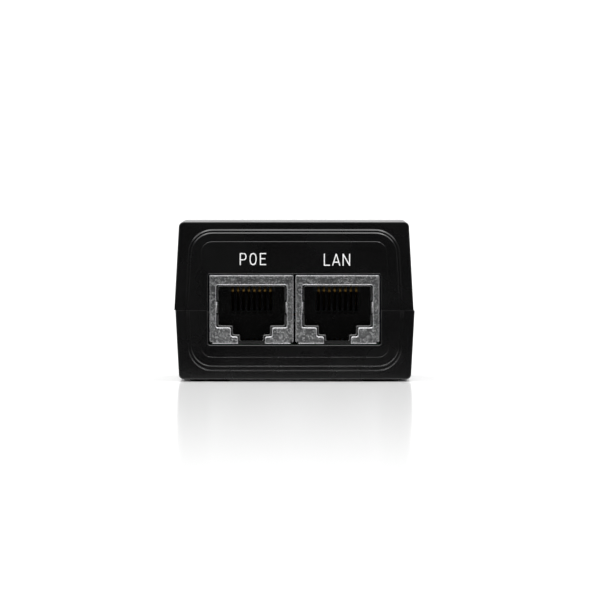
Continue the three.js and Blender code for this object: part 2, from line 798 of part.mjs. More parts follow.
for (const [port, x] of [["poe", -JACK_X], ["lan", JACK_X]]) {
  add(`${port}_jack_shield`, jackShield(x), tinnedShield());
  add(`${port}_jack_housing`, jackHousing(x), blackHousing());
  add(`${port}_contact_carrier`, contactCarrier(x), blackHousing());
  contactOffsets().forEach((at, i) => {
    add(`${port}_contact_${i + 1}`, springContact(x + at), goldPlated());
  });
}

add("inlet_housing", inletHousing(), blackHousing());
pinPlaces().forEach((pin) => add(pin.name, inletPin(pin), nickelPin()));
add("live_wire", tube(WIRES.live_wire, WIRE_RADIUS), material(0x6b3d1e, 0.5));
add("neutral_wire", tube(WIRES.neutral_wire, WIRE_RADIUS), material(0x2a5ea8, 0.5));
add("earth_wire", tube(WIRES.earth_wire, WIRE_RADIUS), material(0x6fa032, 0.5));

add("circuit_board", circuitBoard(), greenBoard());
add("fuse", radialFuse(-14.7, 16.6, 4.1, 7.6), material(0x2a2a2a, 0.4));
add("surge_varistor", discOnLegs(-3.4, 14, 4.3, 3.8, 1.4), material(0x1e4f9a, 0.4));
add("x_capacitor", standingBlock(12.2, 14.4, BOARD.top + 0.1, 13, 5, 11), material(0xd9b33a, 0.4));
add("mains_choke_core", chokeCore(), ferrite());
add("mains_choke_winding", chokeWinding(), copperWinding());
add("bridge_rectifier", chip(-0.5, 6.6, 6.4, 8.4, 3.2, 2), blackEpoxy());
add("bulk_capacitor", electrolytic(13.2, 4.8, 5, 17), material(0x22304f, 0.35));
add("transformer_core", transformerCore(), ferrite());
add("transformer_bobbin", transformerBobbin(), blackEpoxy());
add("transformer_winding", transformerWinding(), yellowTape());
add("switching_transistor", switchingTransistor(), blackEpoxy());
add("transistor_heat_sink", heatSink(), material(0xaeb2b6, 0.4, 0.9));
add("optocoupler", chip(-15, -4.9, 6.2, 4.4, 3.2, 2), material(0xe8e6df, 0.5));
add("y_capacitor", discOnLegs(-15, -10.6, 3.5, 2.8, 1.2), material(0x3b78c4, 0.4));
add("output_diode", outputDiode(), blackEpoxy());
add("output_capacitor_1", electrolytic(-14.6, -17.2, 4, 13), material(0x22304f, 0.35));
add("output_capacitor_2", electrolytic(14.6, -17.6, 3.7, 13), material(0x22304f, 0.35));
add("controller_chip", chip(-6.4, -18.2, 3.9, 4.9, 1.4, 4), blackEpoxy());
add("status_led", statusLed(), clearPlastic());
add("light_pipe", lightPipe(), clearPlastic());

export default injector;
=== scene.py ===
"""PoE injector: the looks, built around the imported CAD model, in its frame.

Lengths are written in millimetres and turned into metres as each mesh is made.
"""

import math
from collections import namedtuple

import bmesh
import bpy
from mathutils import Matrix, Vector


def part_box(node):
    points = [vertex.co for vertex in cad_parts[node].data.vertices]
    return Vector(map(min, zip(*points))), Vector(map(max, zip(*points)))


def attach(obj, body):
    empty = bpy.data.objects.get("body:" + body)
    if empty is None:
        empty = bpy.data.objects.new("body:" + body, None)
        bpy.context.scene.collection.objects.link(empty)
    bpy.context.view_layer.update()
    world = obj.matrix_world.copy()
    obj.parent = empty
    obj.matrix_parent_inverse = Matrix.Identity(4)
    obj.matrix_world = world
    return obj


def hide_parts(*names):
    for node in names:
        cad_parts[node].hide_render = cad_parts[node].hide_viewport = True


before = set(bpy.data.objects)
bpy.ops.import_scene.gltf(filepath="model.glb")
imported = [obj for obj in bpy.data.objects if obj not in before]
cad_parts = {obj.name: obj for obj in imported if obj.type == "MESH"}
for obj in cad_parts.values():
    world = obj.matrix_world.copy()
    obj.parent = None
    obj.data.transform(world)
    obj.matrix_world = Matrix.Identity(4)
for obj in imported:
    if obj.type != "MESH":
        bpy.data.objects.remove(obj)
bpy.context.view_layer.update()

MM = 0.001
CASE_BODY = "injector"

# A CAD node's lowest and highest corner, its middle in x and y, and half its width along x
Box = namedtuple("Box", "low high x y half")


def box_mm(node):
    """The box of a CAD node, in millimetres."""
    low, high = (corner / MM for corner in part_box(node))
    return Box(low, high, (low.x + high.x) / 2, (low.y + high.y) / 2, (high.x - low.x) / 2)


# ---------------------------------------------------------------- sizes taken from the frame

TOP = box_mm("top_shell")
BOTTOM = box_mm("bottom_shell")
BOARD = box_mm("circuit_board")
SHIELD = box_mm("poe_jack_shield")
INLET = box_mm("inlet_housing")

FRONT_Y, REAR_Y = TOP.low.y, TOP.high.y
CASE_TOP, CASE_BOTTOM = TOP.high.z, BOTTOM.low.z
SPLIT_Z = TOP.low.z
SPLIT_HALF = TOP.half
SHELL_SHIFT = BOTTOM.x
JACK_X = {port: box_mm(f"{port}_jack_shield").x for port in ("poe", "lan")}
JACK_HALF = SHIELD.half
JACK_FRONT, JACK_REAR, JACK_TOP = SHIELD.low.y, SHIELD.high.y, SHIELD.high.z
BOARD_TOP = BOARD.high.z
INLET_Z = (INLET.low.z + INLET.high.z) / 2
COLLAR_HALF = INLET.half
COLLAR_TALL = (INLET.high.z - INLET.low.z) / 2

# ---------------------------------------------------------------- sizes shared with the CAD model

DRAFT = math.tan(math.radians(3.1))
WALL = 2.0
CORNER_ROUND = 1.0
END_ROUND = 0.25

# Both end faces stand out from the case's frame in three low steps. Each is an outline, how far
# its flat lies behind the foremost one, and the height of the slope round it.
STEPS = (
    {"half": 20.6, "low": 1.95, "high": 28.7, "radius": 4.7, "behind": 0.27, "height": 0.25},
    {"half": 20.05, "low": 2.8, "high": 28.1, "radius": 4.1, "behind": 0.07, "height": 0.2},
    {"half": 18.1, "low": 4.55, "high": 26.4, "radius": 2.1, "behind": 0.0, "height": 0.07},
)
FRAME_BEHIND = 0.52
WINDOW = {"half": 16.2, "low": 6.95, "high": 20.2, "radius": 0.3}

LIP = {"height": 0.8, "inset": 1.1, "clearance": 0.1}
SCREW = {"x": 18.4, "y": 28.5, "radius": 1.1, "head": 1.9, "tall": 1.3, "seat": 2.6, "tip": 16.6}
BOSS = {"radius": 2.1, "base_radius": 3.0, "base_top": 4.4}
FOOT = {"x": 16.2, "y": 37.0, "radius": 3.6, "thick": 1.2, "clearance": 0.1}
LIGHT = {"y": -18.6, "led": 1.5, "pipe": 1.4, "clearance": 0.1, "dish": 2.0}
RIB = {"x": 17.4, "half": 3.2, "thick": 1.8}
HOLD_DOWN = {"half": 5.5, "front": -26.6, "rear": -25.4}
BOARD_POSTS = ((-10, -38.8), (10, -38.8), (-15, 19.5), (15, 19.5))
BOARD_POST = {"radius": 1.8, "gap": 0.02}
PILOT = {"beyond": 1.4, "clearance": 0.02}  # the holes that the screws cut their thread in

SHEET = 0.3
SHIELD_CHAMFER = 0.5
MOUTH = {"half": 6.62, "top": 18.2, "floor": 10.2, "step": 3.83, "step_floor": 8.5, "slot": 2.51}
CAVITY = {"half": 6.15, "top": 17.9, "floor": 10.6, "step": 3.43, "step_floor": 8.9, "slot": 2.1}
CAVITY_REAR = -27.0
SLOT_FLOOR = 7.7
CONTACT = {"width": 0.45, "thick": 0.3, "bend": 0.7, "length": 9.9, "slope": -20.0}
CONTACT_PITCH = 1.02
CONTACTS = range(1, 9)
PIN_ROWS = (-24.0, -26.0)
NOSE_Y, NOSE_Z = -35.6, 17.4

INLET_HALF, INLET_TALL = 13.7, 9.9
INLET_FRONT = 24.0
INLET_WALL = 1.5
INLET_BASE = 2.0
INLET_CHAMFER = 5.0
COLLAR_THICK = 2.0
INLET_CLEARANCE = 0.1
PIN_WIDTH, PIN_TALL = 2.0, 4.0
PIN_OFFSET = 2.0

# Fine rounding that the CAD leaves out
OPENING_ROUND = 0.3
PARTING_ROUND = 0.12

OVERCUT = 1.0  # how far cutters reach past what they cut, and ribs into the wall they stand on
CORNERS = ((-1, -1), (1, -1), (-1, 1), (1, 1))
SCREW_PLACES = [(s * SCREW["x"], e * SCREW["y"]) for s, e in CORNERS]
FOOT_PLACES = [(s * FOOT["x"], e * FOOT["y"]) for s, e in CORNERS]


# ---------------------------------------------------------------- meshes

def put_in_scene(obj):
    bpy.context.scene.collection.objects.link(obj)
    return obj


def mesh_object(name, vertices, faces):
    """A new object from vertices in millimetres."""
    mesh = bpy.data.meshes.new(name)
    mesh.from_pydata([tuple(c * MM for c in v) for v in vertices], [], faces)
    mesh.update()
    return put_in_scene(bpy.data.objects.new(name, mesh))


def solid(name, vertices, faces):
    """A closed mesh with its faces turned outwards."""
    obj = mesh_object(name, vertices, faces)
    bm = bmesh.new()
    bm.from_mesh(obj.data)
    bmesh.ops.recalc_face_normals(bm, faces=bm.faces)
    bm.to_mesh(obj.data)
    bm.free()
    return obj


def object_from_bmesh(name, bm):
    bmesh.ops.scale(bm, vec=(MM,) * 3, verts=bm.verts)
    mesh = bpy.data.meshes.new(name)
    bm.to_mesh(mesh)
    bm.free()
    return put_in_scene(bpy.data.objects.new(name, mesh))


def remove(obj):
    bpy.data.objects.remove(obj, do_unlink=True)


def boolean(obj, tools, operation):
    """Joins the tools to obj, or cuts them from it, and removes them."""
    for tool in tools:
        modifier = obj.modifiers.new("boolean", "BOOLEAN")
        modifier.operation = operation
        modifier.solver = "EXACT"
        modifier.object = tool
    graph = bpy.context.evaluated_depsgraph_get()
    graph.update()
    made = bpy.data.meshes.new_from_object(obj.evaluated_get(graph))
    made.name = obj.name
    obj.modifiers.clear()
    obj.data = made
    for tool in tools:
        remove(tool)


def join_objects(name, objects):
    """One object holding the meshes of all, each with its materials."""
    bm = bmesh.new()
    materials = []
    for obj in objects:
        start = len(bm.faces)
        bm.from_mesh(obj.data)
        bm.faces.ensure_lookup_table()
        slots = list(obj.data.materials)
        for face in bm.faces[start:]:
            wanted = slots[face.material_index] if slots else None
            if wanted is not None and wanted not in materials:
                materials.append(wanted)
            face.material_index = materials.index(wanted) if wanted is not None else 0
    mesh = bpy.data.meshes.new(name)
    bm.to_mesh(mesh)
    bm.free()
    for material in materials:
        mesh.materials.append(material)
    for obj in objects:
        remove(obj)
    return put_in_scene(bpy.data.objects.new(name, mesh))


def turn_and_move(obj, turn, x, y):
    """Turns a mesh about Z, then moves it."""
    obj.data.transform(Matrix.Rotation(turn, 4, "Z"))
    obj.data.transform(Matrix.Translation((x * MM, y * MM, 0)))


def soften(obj, width, angle=35):
    """Rounds every edge sharper than the angle."""
    modifier = obj.modifiers.new("edge rounding", "BEVEL")
    modifier.width = width * MM
    modifier.segments = 2
    modifier.limit_method = "ANGLE"
    modifier.angle_limit = math.radians(angle)


def cylinder(x, y, z0, z1, radius, segments=48, radius_top=None):
    bm = bmesh.new()
    bmesh.ops.create_cone(
        bm,
        cap_ends=True,
        segments=segments,
        radius1=radius,
        radius2=radius if radius_top is None else radius_top,
        depth=z1 - z0,
        matrix=Matrix.Translation((x, y, (z0 + z1) / 2)),
    )
    return object_from_bmesh("cylinder", bm)


def add_cube(bm, low, high):
    """Adds a block between two corners."""
    middle = Matrix.Translation([(a + b) / 2 for a, b in zip(low, high)])
    size = Matrix.Diagonal([*(b - a for a, b in zip(low, high)), 1])
    bmesh.ops.create_cube(bm, size=1, matrix=middle @ size)


def bevel(bm, edges, offset, segments, **settings):
    bmesh.ops.bevel(
        bm,
        geom=edges,
        offset=offset,
        segments=segments,
        profile=0.5,
        affect="EDGES",
        clamp_overlap=True,
        **settings,
    )


def block(x, half, y0, y1, z0, z1, rounding=0.0):
    """A block that reaches half its width to each side of x."""
    bm = bmesh.new()
    add_cube(bm, (x - half, y0, z0), (x + half, y1, z1))
    if rounding:
        bevel(bm, bm.edges[:], rounding, 3)
    return object_from_bmesh("block", bm)


def loft(name, rings, closed=False):
    """A surface through rings of equally many points, capped, or closed into a ring."""
    width, count = len(rings[0]), len(rings)
    faces = []
    for i in range(count if closed else count - 1):
        a, b = i * width, (i + 1) % count * width
        for j in range(width):
            after = (j + 1) % width
            faces.append((a + j, a + after, b + after, b + j))
    if not closed:
        faces.append(tuple(reversed(range(width))))
        faces.append(tuple(range((count - 1) * width, count * width)))
    return solid(name, [point for ring in rings for point in ring], faces)


def at_y(points, y):
    """The points of an (x, z) outline, in the plane at y."""
    return [(p[0], y, p[1]) for p in points]


def prism_along_y(points, y0, y1):
    """A closed outline of (x, z) points, swept along Y."""
    return loft("prism", [at_y(points, y) for y in (y0, y1)])


def prism_along_z(name, points, z0, z1):
    """A closed outline of (x, y) points, swept along Z."""
    return loft(name, [[(p[0], p[1], z) for p in points] for z in (z0, z1)])


TURNING = {
    "X": lambda cos, sin, along: Vector((along, cos, sin)),
    "Y": lambda cos, sin, along: Vector((cos, along, sin)),
    "Z": lambda cos, sin, along: Vector((cos, sin, along)),
}


def turned(name, place, profile, segments=48, axis="Z"):
    """A solid of revolution about an axis through a place. The profile is (radius, distance along
    the axis) pairs whose first and last points lie on the axis."""
    turn = TURNING[axis]
    place = Vector(place)
    vertices = []
    for radius, along in profile[1:-1]:
        vertices += [place + turn(*point, along) for point in circle(radius, segments)]
    low, high = len(vertices), len(vertices) + 1
    vertices += [place + turn(0, 0, profile[0][1]), place + turn(0, 0, profile[-1][1])]
    last = low - segments
    faces = []
    for i in range(segments):
        after = (i + 1) % segments
        faces.append((low, after, i))
        faces.append((high, last + i, last + after))
        for a in range(0, last, segments):
            b = a + segments
            faces.append((a + i, a + after, b + after, b + i))
    return solid(name, vertices, faces)


def smooth_path(points, steps=8):
    """A Catmull-Rom curve through the points."""
    points = [Vector(p) for p in points]
    padded = [2 * points[0] - points[1], *points, 2 * points[-1] - points[-2]]
    path = []
    for a, b, c, d in zip(padded, padded[1:], padded[2:], padded[3:]):
        for i in range(steps):
            t = i / steps
            curve = (2 * a - 5 * b + 4 * c - d) * t * t + (3 * b - a - 3 * c + d) * t**3
            path.append(0.5 * (2 * b + (c - a) * t + curve))
    path.append(points[-1])
    return path


def circle(radius, segments):
    turn = 2 * math.pi / segments
    return [(radius * math.cos(turn * i), radius * math.sin(turn * i)) for i in range(segments)]


def arc(x, z, radius_x, radius_z, first, last, steps=4):
    """Points on an ellipse about (x, z), between two angles in degrees."""
    angles = [math.radians(first + (last - first) * i / steps) for i in range(steps + 1)]
    return [(x + radius_x * math.cos(a), z + radius_z * math.sin(a)) for a in angles]


def rectangle(x0, x1, y0, y1):
    return [(x0, y0), (x1, y0), (x1, y1), (x0, y1)]


def rounded_rectangle(width, height, radius, steps=2):
    x, y = width / 2, height / 2
    return rounded_polygon(rectangle(-x, x, -y, y), radius, steps)


def sweep(name, path, section, side):
    """A flat section swept along a path, its first coordinate along `side` at the start."""
    tangent = (path[1] - path[0]).normalized()
    across = (side - side.dot(tangent) * tangent).normalized()
    rings = []
    for i, point in enumerate(path):
        ahead = (path[min(i + 1, len(path) - 1)] - path[max(i - 1, 0)]).normalized()
        across = (tangent.rotation_difference(ahead) @ across).normalized()
        tangent = ahead
        other = tangent.cross(across)
        rings.append([point + across * a + other * b for a, b in section])
    return loft(name, rings)


def corner_arc(before, corner, after, radius, steps):
    """Points round the corner on an arc, from one tangent point to the other."""
    into = (corner - before).normalized()
    out = (after - corner).normalized()
    turn = into.angle(out)
    side = 1.0 if into.x * out.y - into.y * out.x > 0 else -1.0
    start = corner - into * radius * math.tan(turn / 2)
    centre = start + Vector((-into.y, into.x)) * side * radius
    return [
        centre + Matrix.Rotation(side * turn * i / steps, 2) @ (start - centre)
        for i in range(steps + 1)
    ]


def rounded_polygon(corners, radius, steps=6):
    """A closed outline through the corners, all rounded by one radius."""
    corners = [Vector(corner) for corner in corners]
    points = []
    for i, corner in enumerate(corners):
        after = corners[(i + 1) % len(corners)]
        points += corner_arc(corners[i - 1], corner, after, radius, steps)
    return points


# ---------------------------------------------------------------- materials

WHITE = (1.0, 1.0, 1.0, 1.0)


def grey(value):
    return (value, value, value)


def scaled(colour, factor):
    return tuple(min(1.0, part * factor) for part in colour)


class Tree:
    """A node tree, with short calls to add and link nodes."""

    def __init__(self, owner):
        owner.use_nodes = True
        self.nodes = owner.node_tree.nodes
        self.links = owner.node_tree.links

    def feed(self, node, socket, value):
        """Sets a node's input, or links it where the value is another node's output."""
        if isinstance(value, bpy.types.NodeSocket):
            self.links.new(value, node.inputs[socket])
        else:
            node.inputs[socket].default_value = value

    def add(self, kind, inputs=None, **settings):
        """A new node with its settings, and then its inputs."""
        node = self.nodes.new("ShaderNode" + kind)
        for name, value in settings.items():
            setattr(node, name, value)
        for socket, value in (inputs or {}).items():
            self.feed(node, socket, value)
        return node

    def blend(self, factor, one, other):
        """A shader between two others."""
        return self.add("MixShader", {"Fac": factor, 1: one, 2: other}).outputs["Shader"]


class Look(Tree):
    """A material: one Principled shader, whose textures lie in the object's own frame."""

    def __init__(self, name, base, roughness, metallic=0.0, specular=0.5, ior=1.5):
        self.material = bpy.data.materials.new(name)
        super().__init__(self.material)
        self.shader = self.nodes["Principled BSDF"]
        self.set("Base Color", (*base, 1.0))
        self.set("Roughness", roughness)
        self.set("Metallic", metallic)
        self.set("Specular IOR Level", specular)
        self.set("IOR", ior)
        self.place = self.add("TexCoord").outputs["Object"]

    def set(self, socket, value):
        self.feed(self.shader, socket, value)

    def texture(self, kind, size_mm, inputs, stretch=(1, 1, 1), **settings):
        """A texture node whose unit is size_mm, divided by the stretch along each axis."""
        scale = tuple(part / (size_mm * MM) for part in stretch)
        place = self.add("Mapping", {"Scale": scale, "Vector": self.place}).outputs["Vector"]
        return self.add(kind, {"Scale": 1.0, "Vector": place, **inputs}, **settings)

    def noise(self, size_mm, detail=3.0, roughness=0.5, stretch=(1, 1, 1)):
        """Noise whose features are about size_mm across. Returns its 0 to 1 output."""
        inputs = {"Detail": detail, "Roughness": roughness}
        return self.texture("TexNoise", size_mm, inputs, stretch).outputs["Fac"]

    def cells(self, size_mm):
        """Voronoi cells about size_mm across. Returns a random value for each cell."""
        colour = self.texture("TexVoronoi", size_mm, {}).outputs["Color"]
        return self.add("SeparateColor", {"Color": colour}).outputs["Red"]

    def bands(self, size_mm, axis, distortion=0.0):
        """Stripes size_mm apart along an axis. Returns their 0 to 1 output."""
        inputs = {"Scale": math.pi / (10 * size_mm), "Distortion": distortion}
        return self.texture("TexWave", 1.0, inputs, bands_direction=axis).outputs["Fac"]

    def remap(self, value, low=0.0, high=1.0, from_low=0.3, from_high=0.7):
        """The value, with the span from from_low to from_high stretched over low to high."""
        ends = {"From Min": from_low, "From Max": from_high, "To Min": low, "To Max": high}
        return self.add("MapRange", {"Value": value, **ends}).outputs["Result"]

    def mix(self, factor, one, other):
        """A colour between two others, which are tuples or outputs."""
        node = self.add("Mix", {"Factor": factor}, data_type="RGBA")
        colours = [i for i, socket in enumerate(node.inputs) if socket.type == "RGBA"]
        for i, colour in zip(colours, (one, other)):
            self.feed(node, i, (*colour, 1.0) if isinstance(colour, tuple) else colour)
        return next(socket for socket in node.outputs if socket.type == "RGBA")

    def colour(self, value, one, other, from_low=0.3, from_high=0.7):
        """The base colour goes from one to the other as the value rises."""
        factor = self.remap(value, 0.0, 1.0, from_low, from_high)
        self.set("Base Color", self.mix(factor, one, other))

    def roughness(self, value, low, high, from_low=0.3, from_high=0.7):
        self.set("Roughness", self.remap(value, low, high, from_low, from_high))

    def bump(self, height, depth_mm):
        """Height 0 to 1 as relief depth_mm deep. A second call adds to the first."""
        node = self.add("Bump", {"Distance": depth_mm * MM, "Strength": 1.0, "Height": height})
        before = self.shader.inputs["Normal"]
        if before.is_linked:
            self.feed(node, "Normal", before.links[0].from_socket)
        self.set("Normal", node.outputs["Normal"])


def spark_plastic(name, base, roughness, specular, depth_mm=0.012):
    """Moulded plastic or rubber with a fine spark-eroded texture."""
    look = Look(name, base, roughness, specular=specular)
    grain = look.noise(0.16, detail=2.0)
    look.colour(grain, base, scaled(base, 1.5))
    look.roughness(look.noise(9.0), roughness - 0.05, roughness + 0.06)
    look.bump(grain, depth_mm)
    return look.material


def smooth_plastic(name, base, roughness=0.35, specular=0.4):
    """Moulded plastic with a polished tool finish and faint flow marks."""
    look = Look(name, base, roughness, specular=specular)
    flow = look.noise(2.5, detail=4.0, stretch=(1, 0.35, 1))
    look.colour(flow, base, scaled(base, 1.25))
    look.roughness(flow, roughness - 0.06, roughness + 0.08)
    look.bump(look.noise(0.3, detail=2.0), 0.004)
    return look.material


def plated_metal(name, base, roughness=0.3, grain_mm=0.3, contrast=0.12):
    """Plated metal: fine cloudy grain in tone and roughness."""
    look = Look(name, base, roughness, metallic=1.0)
    grain = look.noise(grain_mm, roughness=0.6)
    look.colour(grain, scaled(base, 1 - contrast), scaled(base, 1 + contrast))
    look.roughness(grain, roughness - 0.06, roughness + 0.08)
    look.bump(grain, 0.004)
    return look.material


def tin_plate():
    """Tin plate straight from the press: speckled, with pale and dark flecks."""
    look = Look("tin plate", (0.42, 0.425, 0.43), 0.4, metallic=1.0)
    cells = look.cells(0.26)
    clouds = look.remap(look.noise(1.6, detail=4.0, roughness=0.6))
    base = look.mix(clouds, (0.21, 0.214, 0.218), (0.42, 0.425, 0.43))
    flecks = look.remap(cells, 0.0, 0.8, 0.5, 0.9)
    look.set("Base Color", look.mix(flecks, base, (0.76, 0.765, 0.77)))
    look.roughness(cells, 0.34, 0.5, 0.0, 1.0)
    look.bump(look.noise(0.2), 0.006)
    return look.material


def burnished_highlight_tin():
    """The same sheet where a tool has bent or cut it: brighter and smoother. The extra brightness
    is partly real burnish and partly a painted highlight, so that the folds, the rolled mouth edges
    and the fingers read as bright lines.
    """
    look = Look("burnished tin with painted highlight", (0.85, 0.85, 0.86), 0.3, metallic=1.0)
    drag = look.noise(0.3)
    look.colour(drag, (0.55, 0.55, 0.56), (0.78, 0.78, 0.79))
    look.roughness(drag, 0.24, 0.38)
    look.bump(drag, 0.004)
    return look.material


def white_ink():
    look = Look("white ink", grey(0.7), 0.5, specular=0.3)
    mottle = look.noise(0.12, detail=2.0)
    look.colour(mottle, grey(0.68), grey(0.8))
    look.bump(mottle, 0.004)
    return look.material


def label_foil():
    """Silver polyester label stock, brushed along its length."""
    look = Look("label foil", grey(0.5), 0.4, metallic=0.6)
    brushed = look.noise(0.15, detail=2.0, stretch=(1, 0.02, 1))
    look.colour(brushed, grey(0.42), grey(0.58))
    look.bump(brushed, 0.003)
    return look.material


def wound_tape():
    """Tape wrapped round and round: bands as colour and relief."""
    base = (0.62, 0.4, 0.04)
    look = Look("yellow tape", base, 0.3)
    bands = look.bands(2.6, "Z", distortion=0.3)
    look.colour(bands, scaled(base, 0.55), base, 0.0, 0.35)
    look.bump(bands, 0.04)
    return look.material


def ferrite():
    """Sintered ferrite: a grainy dark grey."""
    base = (0.03, 0.03, 0.032)
    look = Look("ferrite", base, 0.6, specular=0.4)
    grain = look.noise(0.25, detail=4.0, roughness=0.7)
    look.colour(grain, base, scaled(base, 1.6))
    look.bump(grain, 0.02)
    return look.material


def board_mask():
    """Green solder mask over glass cloth, with the copper areas showing through it."""
    look = Look("solder mask", (0.01, 0.1, 0.035), 0.3)
    copper = look.remap(look.cells(3.2), 0.0, 1.0, 0.5, 0.56)
    look.set("Base Color", look.mix(copper, (0.008, 0.085, 0.03), (0.02, 0.16, 0.055)))
    look.bump(look.bands(0.5, "X"), 0.003)
    look.bump(copper, 0.02)
    return look.material


def earth_insulation():
    """Green insulation with a yellow stripe that runs along it in a slow spiral."""
    look = Look("earth insulation", (0.05, 0.3, 0.05), 0.35, specular=0.45)
    stripe = look.bands(1.7, "DIAGONAL")
    look.colour(stripe, (0.03, 0.26, 0.05), (0.75, 0.6, 0.03), 0.62, 0.66)
    look.bump(look.noise(0.3), 0.004)
    return look.material


def clear_plastic():
    """Frosted clear acrylic."""
    look = Look("clear plastic", (0.82, 0.88, 0.86), 0.3, ior=1.49)
    look.set("Transmission Weight", 0.6)
    haze = look.noise(0.8)
    look.roughness(haze, 0.22, 0.4)
    look.colour(haze, (0.74, 0.8, 0.78), (0.86, 0.9, 0.88))
    look.bump(haze, 0.004)
    return look.material


CASE_PLASTIC = spark_plastic("case plastic", (0.002, 0.002, 0.0021), 0.26, 0.5, depth_mm=0.005)
RUBBER = spark_plastic("foot rubber", grey(0.012), 0.75, 0.2)
TIN_PLATE = tin_plate()
# Brighter metal for folds, mouth edges and fingers: partly burnish, partly a painted highlight
BURNISHED_HIGHLIGHT_TIN = burnished_highlight_tin()
INK = white_ink()
LABEL_FOIL = label_foil()
CLEAR_PLASTIC = clear_plastic()
EARTH_INSULATION = earth_insulation()
BOARD_MASK = board_mask()
FERRITE = ferrite()
YELLOW_TAPE = wound_tape()

HOUSING_PLASTIC = smooth_plastic("housing plastic", grey(0.012), 0.2, 1.0)
INLET_PLASTIC = smooth_plastic("inlet plastic", grey(0.008), 0.32)
BROWN_INSULATION = smooth_plastic("brown insulation", (0.13, 0.045, 0.015))
BLUE_INSULATION = smooth_plastic("blue insulation", (0.015, 0.07, 0.32))
EPOXY = smooth_plastic("black epoxy", (0.013, 0.013, 0.014), 0.5)
WHITE_EPOXY = smooth_plastic("white epoxy", (0.6, 0.58, 0.54), 0.5)
BLUE_LACQUER = smooth_plastic("blue lacquer", (0.01, 0.1, 0.36), 0.25, 0.5)
YELLOW_BOX = smooth_plastic("yellow box", (0.62, 0.36, 0.03), 0.4)
SLEEVE = smooth_plastic("capacitor sleeve", (0.008, 0.014, 0.06), 0.28, 0.5)
SLEEVE_STRIPE = smooth_plastic("sleeve stripe", (0.3, 0.33, 0.42), 0.3, 0.5)

# Gold plate made far darker than real gold: painted shade, so that the contacts stay dim deep
# inside the jacks
SHADE_DIMMED_GOLD = plated_metal("gold plate dimmed for shade", (0.24, 0.145, 0.042), 0.36, 0.2, 0.06)
NICKEL = plated_metal("nickel plate", (0.62, 0.6, 0.55), 0.22, 0.4, 0.06)
ZINC = plated_metal("zinc plate", (0.6, 0.61, 0.63), 0.32)
SOLDER = plated_metal("solder", (0.66, 0.66, 0.67), 0.28, 0.5, 0.08)
TINNED_WIRE = plated_metal("tinned wire", (0.64, 0.64, 0.65), 0.3, 0.5, 0.06)
CAN_ALUMINIUM = plated_metal("can aluminium", (0.7, 0.7, 0.71), 0.35, 0.25, 0.06)
MILL_ALUMINIUM = plated_metal("mill aluminium", (0.62, 0.63, 0.64), 0.4, 0.6, 0.08)
COPPER = plated_metal("enamelled copper", (0.5, 0.13, 0.035), 0.22, 0.5, 0.08)


# ---------------------------------------------------------------- stage, lights and camera

VIEW_DISTANCE = 3000.0  # from the camera to the front face
VIEW_HEIGHT = 44.8
VIEW_CENTRE = (1.04, 15.37)  # the point of the front plane in the middle of the picture, x and z
VIEW_WIDTH = 113.0  # how much of the front plane the picture spans
SENSOR = 36.0
CLIP_START, CLIP_END = 0.005, 50.0  # in metres

# The studio's brightness from straight in front of the object (0) to straight behind it (1)
STUDIO_STRENGTH = 1.7
STUDIO = (
    (0.0, 0.012),
    (0.06, 0.012),
    (0.13, 1.0),
    (0.22, 1.0),
    (0.3, 0.05),
    (0.5, 0.12),
    (0.8, 0.6),
)
BACKDROP_STRENGTH = 1.1

# Far-off softboxes: the way their light travels, how many degrees wide they are, and strength
SOFTBOXES = {
    "overhead": ((0.0, 0.05, -1.0), 50, 2.6),
    "left": ((0.5, 0.05, -0.8), 44, 1.1),
    "right": ((-0.5, 0.05, -0.8), 44, 1.1),
}

FLOOR_HALF = 30000.0
FLOOR_WHITE = 0.82
FLOOR_SHEEN = 0.6
FLOOR_ROUGHNESS = 0.12
# Painted dark reflection: the grey that glossy rays see on the floor far from the object, in place
# of dark cards
DARK_REFLECTION_GREY = 0.02
DARK_REFLECTION_FROM, DARK_REFLECTION_TO = 50.0, 68.0  # reflections see the floor darken between these distances


def make_camera():
    camera = bpy.data.cameras.new("camera")
    camera.sensor_width = SENSOR
    target = Vector((VIEW_CENTRE[0], FRONT_Y, VIEW_CENTRE[1]))
    place = Vector((VIEW_CENTRE[0], FRONT_Y - VIEW_DISTANCE, VIEW_HEIGHT))
    line = target - place
    camera.lens = SENSOR * line.length / VIEW_WIDTH
    camera.clip_start = CLIP_START
    camera.clip_end = CLIP_END
    obj = put_in_scene(bpy.data.objects.new("camera", camera))
    obj.location = place * MM
    obj.rotation_euler = line.to_track_quat("-Z", "Y").to_euler()
    bpy.context.scene.camera = obj


def make_lights():
    for name, (way, spread, strength) in SOFTBOXES.items():
        light = bpy.data.lights.new(name, "SUN")
        light.angle = math.radians(spread)
        light.energy = strength
        obj = put_in_scene(bpy.data.objects.new(name, light))
        obj.rotation_euler = Vector(way).to_track_quat("-Z", "Y").to_euler()


def make_world():
    """White to the camera. The object sees a ring light in front, dim sides, and a bright back."""
    world = bpy.data.worlds.new("studio")
    bpy.context.scene.world = world
    tree = Tree(world)
    tree.nodes.clear()
    way = tree.add("TexCoord").outputs["Generated"]
    back = tree.add("SeparateXYZ", {"Vector": way}).outputs["Y"]
    across = tree.add("MapRange", {"From Min": -1.0, "Value": back}).outputs["Result"]
    ramp = tree.add("ValToRGB", {"Fac": across})
    ramp.color_ramp.interpolation = "EASE"
    stops = ramp.color_ramp.elements
    while len(stops) < len(STUDIO):
        stops.new(0.5)
    for stop, (where, bright) in zip(stops, STUDIO):
        stop.position = where
        stop.color = (*grey(bright), 1.0)
    studio = tree.add("Background", {"Color": ramp.outputs["Color"], "Strength": STUDIO_STRENGTH})
    white = tree.add("Background", {"Color": WHITE, "Strength": BACKDROP_STRENGTH})
    seen = tree.add("LightPath").outputs["Is Camera Ray"]
    surface = tree.blend(seen, studio.outputs["Background"], white.outputs["Background"])
    tree.add("OutputWorld", {"Surface": surface})


